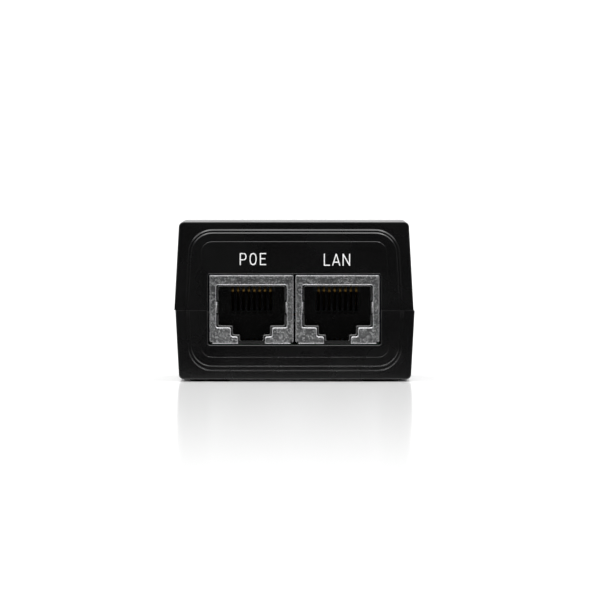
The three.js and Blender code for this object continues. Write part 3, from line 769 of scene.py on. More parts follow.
def make_floor():
    """A pale acrylic sheet: mostly matt, with a faint blurred reflection. Far from the object the
    floor turns dark grey for glossy rays only: a painted dark reflection in place of dark cards, so
    that the object's glossy faces mirror darkness and not the white floor."""
    corners = rectangle(-FLOOR_HALF, FLOOR_HALF, -FLOOR_HALF, FLOOR_HALF)
    floor = mesh_object("floor", [(x, y, 0) for x, y in corners], [(0, 1, 2, 3)])
    material = bpy.data.materials.new("white acrylic")
    tree = Tree(material)
    tree.nodes.clear()
    matt = tree.add("BsdfDiffuse", {"Color": (*grey(FLOOR_WHITE), 1.0)})
    gloss = tree.add("BsdfGlossy", {"Color": WHITE, "Roughness": FLOOR_ROUGHNESS})
    sheet = tree.blend(FLOOR_SHEEN, matt.outputs["BSDF"], gloss.outputs["BSDF"])

    place = tree.add("TexCoord").outputs["Object"]
    away = tree.add("VectorMath", {0: place}, operation="LENGTH").outputs["Value"]
    ends = {"From Min": DARK_REFLECTION_FROM * MM, "From Max": DARK_REFLECTION_TO * MM}
    far = tree.add("MapRange", {"Value": away, **ends}, interpolation_type="SMOOTHSTEP")
    # Glossy rays past these distances see the floor painted dark grey: a painted reflection
    ray = tree.add("LightPath").outputs["Is Glossy Ray"]
    mirrored = tree.add("Math", {0: far.outputs["Result"], 1: ray}, operation="MULTIPLY")
    painted_dark_reflection = tree.add("BsdfDiffuse", {"Color": (*grey(DARK_REFLECTION_GREY), 1.0)})
    surface = tree.blend(mirrored.outputs["Value"], sheet, painted_dark_reflection.outputs["BSDF"])
    tree.add("OutputMaterial", {"Surface": surface})
    floor.data.materials.append(material)


make_camera()
make_world()
make_lights()
make_floor()
bpy.context.scene.view_settings.view_transform = "Standard"
bpy.context.scene.view_settings.look = "None"


# ---------------------------------------------------------------- putting pieces in place

def add_piece(obj, slot, material, *nodes, sharp=38, body=CASE_BODY):
    """Gives a finished piece its shading, material and body, and hides the CAD nodes it stands for.
    Edges over `sharp` degrees stay sharp, and with None the piece isn't smoothed at all. The slot
    argument is not used."""
    if sharp is not None:
        obj.data.shade_smooth()
        obj.data.set_sharp_from_angle(angle=math.radians(sharp))
        obj.modifiers.new("flat faces", "WEIGHTED_NORMAL").keep_sharp = True
    if material is not None:
        obj.data.materials.clear()
        obj.data.materials.append(material)
    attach(obj, body)
    if nodes:
        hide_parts(*nodes)


def dress(node, material, rounding):
    """Gives a CAD node that stays in view its material and rounded edges."""
    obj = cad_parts[node]
    if not obj.material_slots:
        obj.data.materials.append(material)
    for slot in obj.material_slots:
        slot.link = "OBJECT"
        slot.material = material
    soften(obj, rounding, angle=50)


# ---------------------------------------------------------------- case

# Half of an outline, above or below the split: half-width at the split, height of its far side,
# corner radius, draft, and the cut of its corners where they aren't just round.
Outline = namedtuple("Outline", "half end radius draft chamfer")

CASE_OUTSIDE = {"half": SPLIT_HALF, "low": CASE_BOTTOM, "high": CASE_TOP, "radius": CORNER_ROUND}
CASE_INSIDE = {
    "half": SPLIT_HALF - WALL,
    "low": CASE_BOTTOM + WALL,
    "high": CASE_TOP - WALL,
    "radius": 0.6,
}
INLET_CORNER = 1.1
SIDE_STEPS = 4
CORNER_STEPS = 10
SPAN_STEPS = 6
LENGTH_STEPS = 6
PARTING_BEND = 0.3  # where the middle point of the parting line's rounding lies
PARTING_STEPS = (0.0, PARTING_BEND * PARTING_ROUND, PARTING_ROUND)
QUARTER = [math.pi * i / 8 for i in range(5)]  # the angles of a rounded edge's points
SEAM_GAP = 0.05  # bosses and ribs stop this short of the split


def half_outline(size, upper, draft=DRAFT):
    return Outline(size["half"], size["high" if upper else "low"], size["radius"], draft, 0.0)


def line_points(start, end, steps):
    """Points after start, up to and with end."""
    return [start.lerp(end, (i + 1) / steps) for i in range(steps)]


def outline_points(outline, grow, shift):
    """Points of half an outline, from the split on the right, round to the split on the left."""
    sign = 1.0 if outline.end > SPLIT_Z else -1.0
    end = outline.end + sign * grow
    half = outline.half + grow
    start = Vector((half, SPLIT_Z))
    corner = Vector((half - abs(end - SPLIT_Z) * outline.draft, end))
    middle = Vector((0.0, end))
    radius = max(outline.radius + grow, 0.05)
    if outline.chamfer:
        first = corner - Vector((0.0, sign * outline.chamfer))
        last = corner - Vector((outline.chamfer, 0.0))
        before = CORNER_STEPS // 2 - 1
        bend = corner_arc(start, first, last, radius, before)
        bend += corner_arc(first, last, middle, radius, CORNER_STEPS - 1 - before)
    else:
        bend = corner_arc(start, corner, middle, radius, CORNER_STEPS)
    up = (bend[0] - start).normalized()
    parting = [start + up * step for step in PARTING_STEPS]
    right = parting + line_points(parting[-1], bend[0], SIDE_STEPS) + bend[1:]
    right += line_points(bend[-1], middle, SPAN_STEPS)
    left = [Vector((-p.x, p.y)) for p in reversed(right[:-1])]
    return [Vector((p.x + shift, p.y)) for p in right + left]


def hole_edge(outline, depth, radius):
    """Stations over the rounded edge of a hole: up its wall, then out along the face."""
    return [
        (outline, radius * (1 - math.cos(a)), depth + radius * (1 - math.sin(a))) for a in QUARTER
    ]


def end_edge(outline, depth, radius):
    """Stations over the rounded edge of an end: along it, then down to the side wall."""
    return [
        (outline, radius * (math.sin(a) - 1), depth + radius * (1 - math.cos(a))) for a in QUARTER
    ]


def end_stations(opening, steps, border):
    """Stations (outline, growth, depth from the end) from the opening to the side wall."""
    stations = [(opening, 0.0, WALL), *hole_edge(opening, 0.0, OPENING_ROUND)]
    for step, outline in reversed(list(zip(STEPS, steps))):
        crest, height = step["behind"], step["height"]
        stations += [(outline, -height, crest), (outline, 0.0, crest + height)]
    return stations + end_edge(border, FRAME_BEHIND, END_ROUND)


def ways_inwards(points, outside):
    """For each point of a closed loop, the way into the wall; nothing for points inside."""
    count = len(points)
    area = sum(points[i - 1].cross(points[i]) for i in range(count))
    turn = 1.0 if area > 0 else -1.0
    ways = []
    for i in range(count):
        along = points[(i + 1) % count] - points[i - 1]
        inward = Vector((-along.y, along.x, 0.0)).normalized() * turn
        ways.append(inward if outside[i] else Vector((0.0, 0.0, 0.0)))
    return ways


def shell_body(name, upper):
    """One shell: its wall's section swept through the stations, closed at the split."""
    shift = -SHELL_SHIFT if upper else SHELL_SHIFT
    outer = half_outline(CASE_OUTSIDE, upper)
    inner = half_outline(CASE_INSIDE, upper)
    steps = [half_outline(step, upper) for step in STEPS]
    window = half_outline(WINDOW, upper, 0.0)
    tall = INLET_TALL + INLET_CLEARANCE
    inlet_end, inlet_chamfer = (INLET_Z + tall, INLET_CHAMFER) if upper else (INLET_Z - tall, 0.0)
    inlet = Outline(INLET_HALF + INLET_CLEARANCE, inlet_end, INLET_CORNER, 0.0, inlet_chamfer)

    front = [(o, g, FRONT_Y + d) for o, g, d in end_stations(window, steps, outer)]
    rear = [(o, g, REAR_Y - d) for o, g, d in end_stations(inlet, steps, outer)]
    side_front = front[-1][2]
    stride = (rear[-1][2] - side_front) / LENGTH_STEPS
    side = [(outer, 0.0, side_front + stride * i) for i in range(1, LENGTH_STEPS)]
    inside = [(inner, 0.0, REAR_Y - WALL), (inner, 0.0, FRONT_Y + WALL)]
    stations = front + side + rear[::-1] + inside

    rows = []
    for outline, grow, y in stations:
        points = outline_points(outline, grow, 0.0 if outline in (inner, window, inlet) else shift)
        rows.append([Vector(point) for point in at_y(points, y)])
    outside = [outline is not inner for outline, _, _ in stations]
    for end, after in ((0, 1), (-1, -2)):
        loop = [row[end].xy for row in rows]
        for row, inward in zip(rows, ways_inwards(loop, outside)):
            row[end] = row[end] + inward * PARTING_ROUND
            row[after] = row[after] + inward * PARTING_ROUND * PARTING_BEND

    width, count = len(rows[0]), len(rows)
    faces = []
    for i in range(count):
        a, b = i * width, (i + 1) % count * width
        faces += [(a + j, a + j + 1, b + j + 1, b + j) for j in range(width - 1)]
    starts = range(0, count * width, width)
    faces.append(tuple(starts))
    faces.append(tuple(start + width - 1 for start in reversed(starts)))
    return solid(name, [point for row in rows for point in row], faces)


def collar_ribs(z0, z1):
    """Ribs on both sides that hold the inlet's collar against the rear wall."""
    rear = REAR_Y - WALL - COLLAR_THICK - 0.1
    return [block(s * RIB["x"], RIB["half"], rear - RIB["thick"], rear, z0, z1) for s in (-1, 1)]


def lip_rails(inset, inner, z0, z1, gap):
    """The lip's two rails, each round one side and its corners, up to the end openings."""
    x_out, y_out = SPLIT_HALF - inset, REAR_Y - inset
    x_in, y_in = SPLIT_HALF - inner, REAR_Y - inner
    window = WINDOW["half"] + gap
    inlet = INLET_HALF + INLET_CLEARANCE + gap
    corners = [
        (window, -y_out),
        (x_out, -y_out),
        (x_out, y_out),
        (inlet, y_out),
        (inlet, y_in),
        (x_in, y_in),
        (x_in, -y_in),
        (window, -y_in),
    ]
    return [prism_along_z("rail", [(s * x, y) for x, y in corners], z0, z1) for s in (-1, 1)]


def countersink(x, y, radius, depth):
    """A cutter that takes the sharp edge off a hole in the underside."""
    beyond = 0.3
    low, high = CASE_BOTTOM - beyond, CASE_BOTTOM + depth
    return cylinder(x, y, low, high, radius + depth + beyond, radius_top=radius)


def make_top_shell():
    shell = shell_body("case_top", upper=True)
    low, high = SPLIT_Z + SEAM_GAP, CASE_TOP - OVERCUT
    inside = [cylinder(x, y, low, high, BOSS["radius"]) for x, y in SCREW_PLACES]
    for x in JACK_X.values():
        inside.append(
            block(x, HOLD_DOWN["half"], HOLD_DOWN["front"], HOLD_DOWN["rear"], JACK_TOP + 0.2, high)
        )
    boolean(shell, inside + collar_ribs(low, high), "UNION")
    slack = LIP["clearance"]
    top = SPLIT_Z + LIP["height"] + slack
    cutters = lip_rails(LIP["inset"] - slack, WALL + slack, SPLIT_Z - 0.5, top, 0.05)
    tip, radius = SCREW["tip"] + PILOT["beyond"], SCREW["radius"] + PILOT["clearance"]
    cutters += [cylinder(x, y, SPLIT_Z - OVERCUT, tip, radius) for x, y in SCREW_PLACES]
    y, radius, dish = LIGHT["y"], LIGHT["pipe"] + LIGHT["clearance"], LIGHT["dish"]
    cutters.append(cylinder(0, y, CASE_TOP - WALL - OVERCUT, CASE_TOP + OVERCUT, radius))
    cutters.append(cylinder(0, y, CASE_TOP - 0.15, CASE_TOP + 0.3, radius, radius_top=dish))
    boolean(shell, cutters, "DIFFERENCE")
    add_piece(shell, "case_plastic", CASE_PLASTIC, "top_shell")


def make_bottom_shell():
    shell = shell_body("case_bottom", upper=False)
    low, high = CASE_BOTTOM + OVERCUT, SPLIT_Z - SEAM_GAP
    radius, top = BOARD_POST["radius"], BOARD.low.z - BOARD_POST["gap"]
    inside = [cylinder(x, y, low, top, radius, segments=32) for x, y in BOARD_POSTS]
    for x, y in SCREW_PLACES:
        inside.append(cylinder(x, y, low, high, BOSS["radius"]))
        inside.append(cylinder(x, y, low, BOSS["base_top"], BOSS["base_radius"]))
    inside += collar_ribs(low, high)
    inside += lip_rails(LIP["inset"], WALL + 0.02, SPLIT_Z - 0.5, SPLIT_Z + LIP["height"], 0.2)
    boolean(shell, inside, "UNION")
    hole, seat = SCREW["radius"] + 0.15, SCREW["head"] + 0.15
    recess = FOOT["radius"] + FOOT["clearance"]
    cutters = []
    for (x, y), (foot_x, foot_y) in zip(SCREW_PLACES, FOOT_PLACES):
        cutters += [
            cylinder(x, y, -OVERCUT, SPLIT_Z + 2, hole),
            cylinder(x, y, -OVERCUT, SCREW["seat"], seat),
            countersink(x, y, seat, 0.15),
            cylinder(foot_x, foot_y, -OVERCUT, FOOT["thick"], recess, segments=64),
            countersink(foot_x, foot_y, recess, 0.12),
        ]
    boolean(shell, cutters, "DIFFERENCE")
    add_piece(shell, "case_plastic", CASE_PLASTIC, "bottom_shell")


LABEL = {"width": 26, "length": 34, "corner": 1.2, "thick": 0.08, "sunk": 0.01}


def make_rating_label():
    """A blank foil label between the feet: it stands for the rating plate, without its text."""
    outline = rounded_rectangle(LABEL["width"], LABEL["length"], LABEL["corner"], steps=6)
    low, high = CASE_BOTTOM - LABEL["thick"], CASE_BOTTOM + LABEL["sunk"]
    label = prism_along_z("rating_label", outline, low, high)
    soften(label, 0.02)
    add_piece(label, "case_plastic", LABEL_FOIL, sharp=None)


THREAD = {"pitch": 1.0, "depth": 0.3, "flank": 0.28, "point": 1.4}
CROSS = [(-1.15, -0.5), (1.15, -0.5), (0.25, 0.95), (-0.25, 0.95)]
CROSS_THICK = 0.48


def screw_shaft(x, y, z0, z1, crest):
    """A threaded shaft with a pointed end: rings whose radius follows a helical ridge."""
    segments = 24
    rows = int((z1 - z0) / THREAD["pitch"] * 8)
    root = crest - THREAD["depth"]
    rings = []
    for row in range(rows + 1):
        z = z0 + (z1 - z0) * row / rows
        point = min(1.0, (z1 - z) / THREAD["point"] + 0.12)
        ring = []
        for i, (cos, sin) in enumerate(circle(1.0, segments)):
            phase = ((z - z0) / THREAD["pitch"] - i / segments) % 1.0
            ridge = max(0.0, 1.0 - abs(phase - 0.5) / THREAD["flank"])
            radius = (root + THREAD["depth"] * ridge) * point
            ring.append((x + radius * cos, y + radius * sin, z))
        rings.append(ring)
    return loft("shaft", rings)


def make_screws():
    head, seat = SCREW["head"], SCREW["seat"]
    low = seat - SCREW["tall"]
    angles = [math.radians(15 * i) for i in range(1, 7)]
    dome = [(head * math.sin(a), low + 0.55 * (1 - math.cos(a)) ** 1.4) for a in angles]
    profile = [(0, low), *dome, (head, seat - 0.12), (head - 0.12, seat), (0, seat)]
    for number, (x, y) in enumerate(SCREW_PLACES, 1):
        screw = turned("pan_head", (x, y, 0), profile, segments=40)
        slots = []
        for turn in (0.0, math.pi / 2):
            cross = [(across, low + up) for across, up in CROSS]
            slots.append(prism_along_y(cross, -CROSS_THICK / 2, CROSS_THICK / 2))
            turn_and_move(slots[-1], turn, x, y)
        boolean(screw, slots, "DIFFERENCE")
        shaft = screw_shaft(x, y, seat - 0.1, SCREW["tip"], SCREW["radius"])
        screw = join_objects(f"case_screw_{number}_threaded", [screw, shaft])
        soften(screw, 0.04, angle=50)
        add_piece(screw, "screw_steel", ZINC, f"case_screw_{number}", sharp=50)


def make_feet():
    radius, thick = FOOT["radius"], FOOT["thick"]
    profile = [
        (0, 0.0),
        (radius * 0.5, 0.0),
        (radius - 1.0, 0.02),
        *arc(radius - 0.5, 0.5, 0.5, 0.48, -90, 0, 5),
        (radius, thick - 0.1),
        (radius - 0.1, thick),
        (0, thick),
    ]
    for number, (x, y) in enumerate(FOOT_PLACES, 1):
        foot = turned(f"rubber_foot_{number}_pad", (x, y, 0), profile, segments=56)
        add_piece(foot, "foot_rubber", RUBBER, f"rubber_foot_{number}", sharp=50)


def make_light_pipe():
    radius, low = LIGHT["pipe"], box_mm("light_pipe").low.z
    top, rim = CASE_TOP - 0.03, 0.2
    rounding = arc(radius - rim, top - rim, rim, rim, 0, 90)
    profile = [(0, low), (radius, low), *rounding, (0, top)]
    pipe = turned("light_pipe_lens", (0, LIGHT["y"], 0), profile, segments=40)
    add_piece(pipe, "clear_plastic", CLEAR_PLASTIC, "light_pipe", sharp=60)


# ---------------------------------------------------------------- port legends

LETTER_TALL = 2.26
STROKE = 0.2
INK_THICK = 0.03
LAYERS, LAYER = 8, 0.0005  # strokes that cross lie this far apart, so that no faces coincide

# The height of each word's foot, and its letters' left edges and widths
LEGENDS = {
    "POE": (21.95, ((-10.31, 1.27), (-8.45, 1.31), (-6.52, 1.18))),
    "LAN": (21.82, ((5.53, 1.15), (7.07, 1.58), (9.06, 1.42))),
}


def bar(x0, z0, x1, z1):
    """A straight stroke of a letter between two points, square-ended."""
    start, end = Vector((x0, z0)), Vector((x1, z1))
    along = (end - start).normalized() * STROKE / 2
    across = Vector((-along.y, along.x))
    return [start - across, end - across, end + across, start + across]


def bowl(x0, x1, z0, z1, squareness, first, last):
    """A round stroke: part of a squared ellipse's outline, between two quarter turns (0 to 4)."""
    middle = Vector(((x0 + x1) / 2, (z0 + z1) / 2))
    half = Vector(((x1 - x0) / 2, (z1 - z0) / 2))
    inner_half = half - Vector((STROKE, STROKE))
    outer, inner = [], []
    for cos, sin in arc(0, 0, 1, 1, first * 90, last * 90, 32):
        way = Vector([math.copysign(abs(part) ** (2 / squareness), part) for part in (cos, sin)])
        outer.append(middle + half * way)
        inner.append(middle + inner_half * way)
    return outer + inner[::-1]


def letter(name, width):
    """The strokes of a letter that stands on zero, each a closed outline."""
    half, tall = STROKE / 2, LETTER_TALL
    left = bar(half, 0, half, tall)
    right = bar(width - half, 0, width - half, tall)
    foot = bar(0, half, width, half)
    crossbar = tall * 0.44
    strokes = {
        "P": [
            left,
            bar(0, tall - half, width * 0.5, tall - half),
            bar(0, crossbar, width * 0.5, crossbar),
            bowl(width * 0.1, width, crossbar - half, tall, 2.2, -1, 1),
        ],
        "O": [bowl(0, width, 0, tall, 2.5, 0, 4)],
        "E": [
            left,
            foot,
            bar(0, tall * 0.53, width * 0.88, tall * 0.53),
            bar(0, tall - half, width, tall - half),
        ],
        "L": [left, foot],
        "A": [
            bar(half, 0, width / 2, tall),
            bar(width - half, 0, width / 2, tall),
            bar(width * 0.2, tall * 0.3, width * 0.8, tall * 0.3),
        ],
        "N": [left, right, bar(half, tall - half * 0.4, width - half, half * 0.4)],
    }
    return strokes[name]


def make_legends():
    """The generic port words in white ink, drawn as plain strokes."""
    bm = bmesh.new()
    layer = 0
    for word, (base, places) in LEGENDS.items():
        for name, (left, width) in zip(word, places):
            for outline in letter(name, width):
                front = FRONT_Y - INK_THICK + layer * LAYER
                layer = (layer + 1) % LAYERS
                points = [(left + p.x, base + min(max(p.y, 0.0), LETTER_TALL)) for p in outline]
                face = bm.faces.new([bm.verts.new(point) for point in at_y(points, front)])
                made = bmesh.ops.extrude_face_region(bm, geom=[face])
                moved = [v for v in made["geom"] if isinstance(v, bmesh.types.BMVert)]
                bmesh.ops.translate(bm, verts=moved, vec=(0, INK_THICK + 0.01, 0))
    bmesh.ops.recalc_face_normals(bm, faces=bm.faces)
    add_piece(object_from_bmesh("port_legends", bm), "case_plastic", INK, sharp=None)


# ---------------------------------------------------------------- jacks

MOUTH_ROLL = 0.2
MOUTH_CORNER = 0.35
CAVITY_ROLL = 0.32
CAVITY_CORNER = 0.3
FOLD_ROUND = 0.22
FOLD_RELIEF = {"wide": 0.62, "tall": 0.42, "deep": 0.9}
FINGER = {"low": 12.9, "high": 15.0, "thick": 0.18}
# A finger's bow: how far it stands in from the mouth's edge, and how far behind the front
FINGER_BOW = ((-0.02, 0.1), (0.12, 0.25), (0.2, 1.2), (0.14, 2.8), (-0.05, 4.4))
LEG = {"front": -33.5, "rear": -31.9, "tall": 1.5}
# In the housing: the bay behind the cavity, the slot over it for the contacts' bends, and the
# pockets for the shield's fingers
BAY = {"half": 6.5, "floor": 0.6, "top": 18.3}
BEND_SLOT = {"half": 4.2, "ahead": 1.2, "top": 18.4}
POCKET = {"x": 6.5, "half": 0.5, "deep": 5.0, "low": 12.6, "high": 15.3}
# The contacts' fixed stretches: their height over the nose's middle, and their pins in the board
TAIL_UP = 0.56
BOARD_PIN = {"half": 0.2, "low": 4.3, "high": 8.4}
ALONG_X = Vector((1, 0, 0))
ALONG_Z = Vector((0, 0, 1))


def jack_outline(size, slot_floor, grow):
    """A jack's opening about x = 0: the plug's body above, two steps for its latch below."""
    slot, step, half = size["slot"] + grow, size["step"] + grow, size["half"] + grow
    step_floor, floor, top = size["step_floor"] - grow, size["floor"] - grow, size["top"] + grow
    right = [
        (slot, slot_floor),
        (slot, step_floor),
        (step, step_floor),
        (step, floor),
        (half, floor),
        (half, top),
    ]
    return right + [(-x, z) for x, z in reversed(right)]


def rolled_cutter(size, slot_floor, front, rear, roll, corner):
    """Cuts a jack's opening behind the plane y = front and rounds over its edge there."""
    profile = [(roll, front - 0.5)]
    for a in QUARTER:
        profile.append((roll - roll * math.sin(a), front + roll - roll * math.cos(a)))
    profile.append((0.0, rear))
    rings = []
    for grow, y in profile:
        outline = rounded_polygon(jack_outline(size, slot_floor, grow), corner, 4)
        rings.append(at_y(outline, y))
    return loft("opening", rings)


def mouth_cutter():
    """Cuts the mouth out of the shield's front and rolls its edge over, as punching does."""
    low, rear = BOARD_TOP - OVERCUT, JACK_FRONT + SHEET + 0.5
    cutter = rolled_cutter(MOUTH, low, JACK_FRONT, rear, MOUTH_ROLL, MOUTH_CORNER)
    # The rolled mouth edge takes the brighter burnished metal: partly burnish, partly a painted
    # highlight
    for face in cutter.data.polygons:
        face.material_index = 1
    return cutter


def fold_reliefs():
    """The notches that let the sheet fold at the front's two lower corners."""
    inside, outside = JACK_HALF - FOLD_RELIEF["wide"], JACK_HALF + OVERCUT
    middle, half = (inside + outside) / 2, (outside - inside) / 2
    front, rear = JACK_FRONT - OVERCUT, JACK_FRONT + FOLD_RELIEF["deep"]
    low, high = BOARD_TOP - OVERCUT, BOARD_TOP + FOLD_RELIEF["tall"]
    return [block(side * middle, half, front, rear, low, high) for side in (-1, 1)]


def folded_can():
    """The shield's outside before it is hollowed: sharp at its open bottom, folded elsewhere."""
    half, cut = JACK_HALF, SHIELD_CHAMFER
    outline = [
        (cut - half, BOARD_TOP),
        (half - cut, BOARD_TOP),
        (half, BOARD_TOP + cut),
        (half, JACK_TOP),
        (-half, JACK_TOP),
        (-half, BOARD_TOP + cut),
    ]
    can = prism_along_y(outline, JACK_FRONT, JACK_REAR)
    bm = bmesh.new()
    bm.from_mesh(can.data)
    remove(can)
    bmesh.ops.scale(bm, vec=(1 / MM,) * 3, verts=bm.verts)
    folds = []
    for edge in bm.edges:
        a, b = (vertex.co for vertex in edge.verts)
        low = min(a.z, b.z) < BOARD_TOP + cut + 0.01
        across = abs(a.y - b.y) < 0.01
        if across or not low:
            folds.append(edge)
    # The folds take the brighter burnished metal: partly burnish, partly a painted highlight
    bevel(bm, folds, FOLD_ROUND, 4, material=1)
    return object_from_bmesh("can", bm)


def side_finger(side):
    """A spring finger folded in from the mouth's side edge, bowed towards the plug."""
    middle = (FINGER["low"] + FINGER["high"]) / 2
    bow = [(side * (MOUTH["half"] - inset), JACK_FRONT + at, middle) for inset, at in FINGER_BOW]
    section = rounded_rectangle(FINGER["high"] - FINGER["low"], FINGER["thick"], 0.05)
    return sweep("finger", smooth_path(bow, steps=4), section, ALONG_Z)


def make_shield(port):
    shield = folded_can()
    half, front, rear = JACK_HALF - SHEET, JACK_FRONT + SHEET, JACK_REAR - SHEET
    inner = block(0, half, front, rear, BOARD_TOP - OVERCUT, JACK_TOP - SHEET)
    shield.data.materials.append(TIN_PLATE)
    # Slot 1, the brighter metal of folds and mouth edge, is partly a painted highlight
    shield.data.materials.append(BURNISHED_HIGHLIGHT_TIN)
    boolean(shield, [inner, mouth_cutter(), *fold_reliefs()], "DIFFERENCE")
    parts = [shield]
    for side in (-1, 1):
        parts.append(side_finger(side))
        # The fingers are all brighter burnished metal: partly burnish, partly a painted highlight
        parts[-1].data.materials.append(BURNISHED_HIGHLIGHT_TIN)
    for side in (-1, 1):
        x, thick = side * (JACK_HALF - SHEET / 2), SHEET / 2 - 0.01
        low, high = SHIELD.low.z, BOARD_TOP + LEG["tall"]
        parts.append(block(x, thick, LEG["front"], LEG["rear"], low, high, rounding=0.08))
        parts[-1].data.materials.append(TIN_PLATE)
    shield = join_objects(f"{port}_shield", parts)
    turn_and_move(shield, 0.0, JACK_X[port], 0)
    add_piece(shield, "jack_shield", None, f"{port}_jack_shield", sharp=50)


def make_housing(port):
    half = JACK_HALF - SHEET - 0.035
    front = JACK_FRONT + SHEET + 0.02
    rear = JACK_REAR - SHEET - 0.2
    top = JACK_TOP - SHEET - 0.05
    bay_floor = BOARD_TOP + BAY["floor"]
    slot_front, slot_floor = NOSE_Y - BEND_SLOT["ahead"], CAVITY["top"] - 0.5
    housing = block(0, half, front, rear, BOARD_TOP, top, rounding=0.15)
    cutters = [
        rolled_cutter(CAVITY, SLOT_FLOOR, front, CAVITY_REAR, CAVITY_ROLL, CAVITY_CORNER),
        block(0, BAY["half"], CAVITY_REAR - 0.1, rear + OVERCUT, bay_floor, BAY["top"]),
        block(0, BEND_SLOT["half"], slot_front, CAVITY_REAR, slot_floor, BEND_SLOT["top"]),
    ]
    for side in (-1, 1):
        x, y0, y1 = side * POCKET["x"], front - OVERCUT, front + POCKET["deep"]
        cutters.append(block(x, POCKET["half"], y0, y1, POCKET["low"], POCKET["high"]))
    boolean(housing, cutters, "DIFFERENCE")
    housing.name = f"{port}_housing"
    turn_and_move(housing, 0.0, JACK_X[port], 0)
    add_piece(housing, "black_housing", HOUSING_PLASTIC, f"{port}_jack_housing", sharp=50)


def contact_x(port, number):
    return JACK_X[port] + (number - 4.5) * CONTACT_PITCH


def contact_path(x):
    """The middle line of a spring contact: round the nose, then down and back."""
    bend = CONTACT["bend"]
    points = arc(0, 0, bend, bend, 120, 270, 10)
    points += [(y, -bend) for y in (1.2, 3.0, 5.0, 7.0, 8.6, 9.4, CONTACT["length"])]
    slope = Matrix.Rotation(math.radians(CONTACT["slope"]), 2)
    nose = Vector((NOSE_Y, NOSE_Z))
    return [Vector((x, *(nose + slope @ Vector(point)))) for point in points]


def make_contacts(port):
    section = rounded_rectangle(CONTACT["width"], CONTACT["thick"], 0.07)
    for number in CONTACTS:
        path = contact_path(contact_x(port, number))
        contact = sweep(f"{port}_contact_{number}_wire", path, section, ALONG_X)
        soften(contact, 0.05, angle=50)
        node = f"{port}_contact_{number}"
        # The contacts' gold is darkened as painted shade
        add_piece(contact, "contact_gold", SHADE_DIMMED_GOLD, node, sharp=45, body=f"{port}_contacts")


def make_contact_tails(port):
    """The contacts' fixed stretches, from the nose over the carrier's tongue into its back."""
    section = rounded_rectangle(CONTACT["width"], 0.24, 0.06)
    tails = []
    for number in CONTACTS:
        x = contact_x(port, number)
        start = contact_path(x)[0]
        route = [
            (x, start.y + 0.12, start.z - 0.03),
            (x, start.y + 0.8, NOSE_Z + 0.6),
            (x, -30.0, NOSE_Z + TAIL_UP),
            (x, -24.6, NOSE_Z + TAIL_UP),
            (x, -23.6, NOSE_Z + 0.3),
            (x, -23.4, NOSE_Z - 0.6),
        ]
        tails.append(sweep("tail", smooth_path(route, steps=6), section, ALONG_X))
        y, half, low, high = PIN_ROWS[number % 2], *BOARD_PIN.values()
        tails.append(block(x, half, y - half, y + half, low, high, rounding=0.06))
    tails = join_objects(f"{port}_contact_tails", tails)
    # The tails' gold is darkened as painted shade
    add_piece(tails, "contact_gold", SHADE_DIMMED_GOLD, sharp=45)


def make_jacks():
    for port in JACK_X:
        make_shield(port)
        make_housing(port)
        make_contacts(port)
        make_contact_tails(port)
        dress(f"{port}_contact_carrier", HOUSING_PLASTIC, 0.06)


# ---------------------------------------------------------------- mains inlet

RIM_ROUND = 0.25
LEAD_IN = 0.35
RECESS_CUT = 0.6  # how much smaller the recess's cut corners are than the body's
SEAT_BORDER, SEAT_TALL = 0.8, 0.7
LUG_HALF, EYE = 0.4, {"radius": 0.8, "from_end": 1.8}
PINS = {
    "live_pin": (-7.0, INLET_Z - PIN_OFFSET),
    "neutral_pin": (7.0, INLET_Z - PIN_OFFSET),
    "earth_pin": (0.0, INLET_Z + PIN_OFFSET),
}
PIN_TIP = (  # how far from the tip, and the share of the pin's width and height there
    (1.3, 1.0, 1.0),
    (0.9, 0.97, 0.94),
    (0.5, 0.86, 0.82),
    (0.2, 0.68, 0.68),
    (0.05, 0.48, 0.54),
    (0.0, 0.3, 0.45),
)
WIRE_RADIUS = 0.8
LUG_GAP = WIRE_RADIUS + 0.45
WIRES = {
    "live_wire": [
        (-7 - LUG_GAP, 22.6, 13.4),
        (-7 - LUG_GAP, 20.6, 13.2),
        (-8.9, 18.6, 11.4),
        (-9.2, 18.2, 9.2),
        (-9.2, 18.2, 7.2),
    ],
    "neutral_wire": [
        (7 + LUG_GAP, 22.6, 13.4),
        (7 + LUG_GAP, 20.8, 13.2),
        (8.9, 19.6, 11.4),
        (9.2, 19.4, 9.2),
        (9.2, 19.4, 7.2),
    ],
    "earth_wire": [
        (LUG_GAP, 22.6, 17.4),
        (LUG_GAP, 20.6, 17.2),
        (2, 18.6, 14.6),
        (2.6, 18.2, 10.4),
        (2.6, 18.2, 7.2),
    ],
}
INSULATION = {
    "live_wire": ("live_insulation", BROWN_INSULATION),
    "neutral_wire": ("neutral_insulation", BLUE_INSULATION),
    "earth_wire": ("earth_insulation", EARTH_INSULATION),
}


def inlet_outline(half, tall, chamfer, radius):
    """The inlet's outline: a rectangle with its two upper corners cut off."""
    low, high = INLET_Z - tall, INLET_Z + tall
    corners = [
        (-half, low),
        (half, low),
        (half, high - chamfer),
        (half - chamfer, high),
        (chamfer - half, high),
        (-half, high - chamfer),
    ]
    return rounded_polygon(corners, radius)


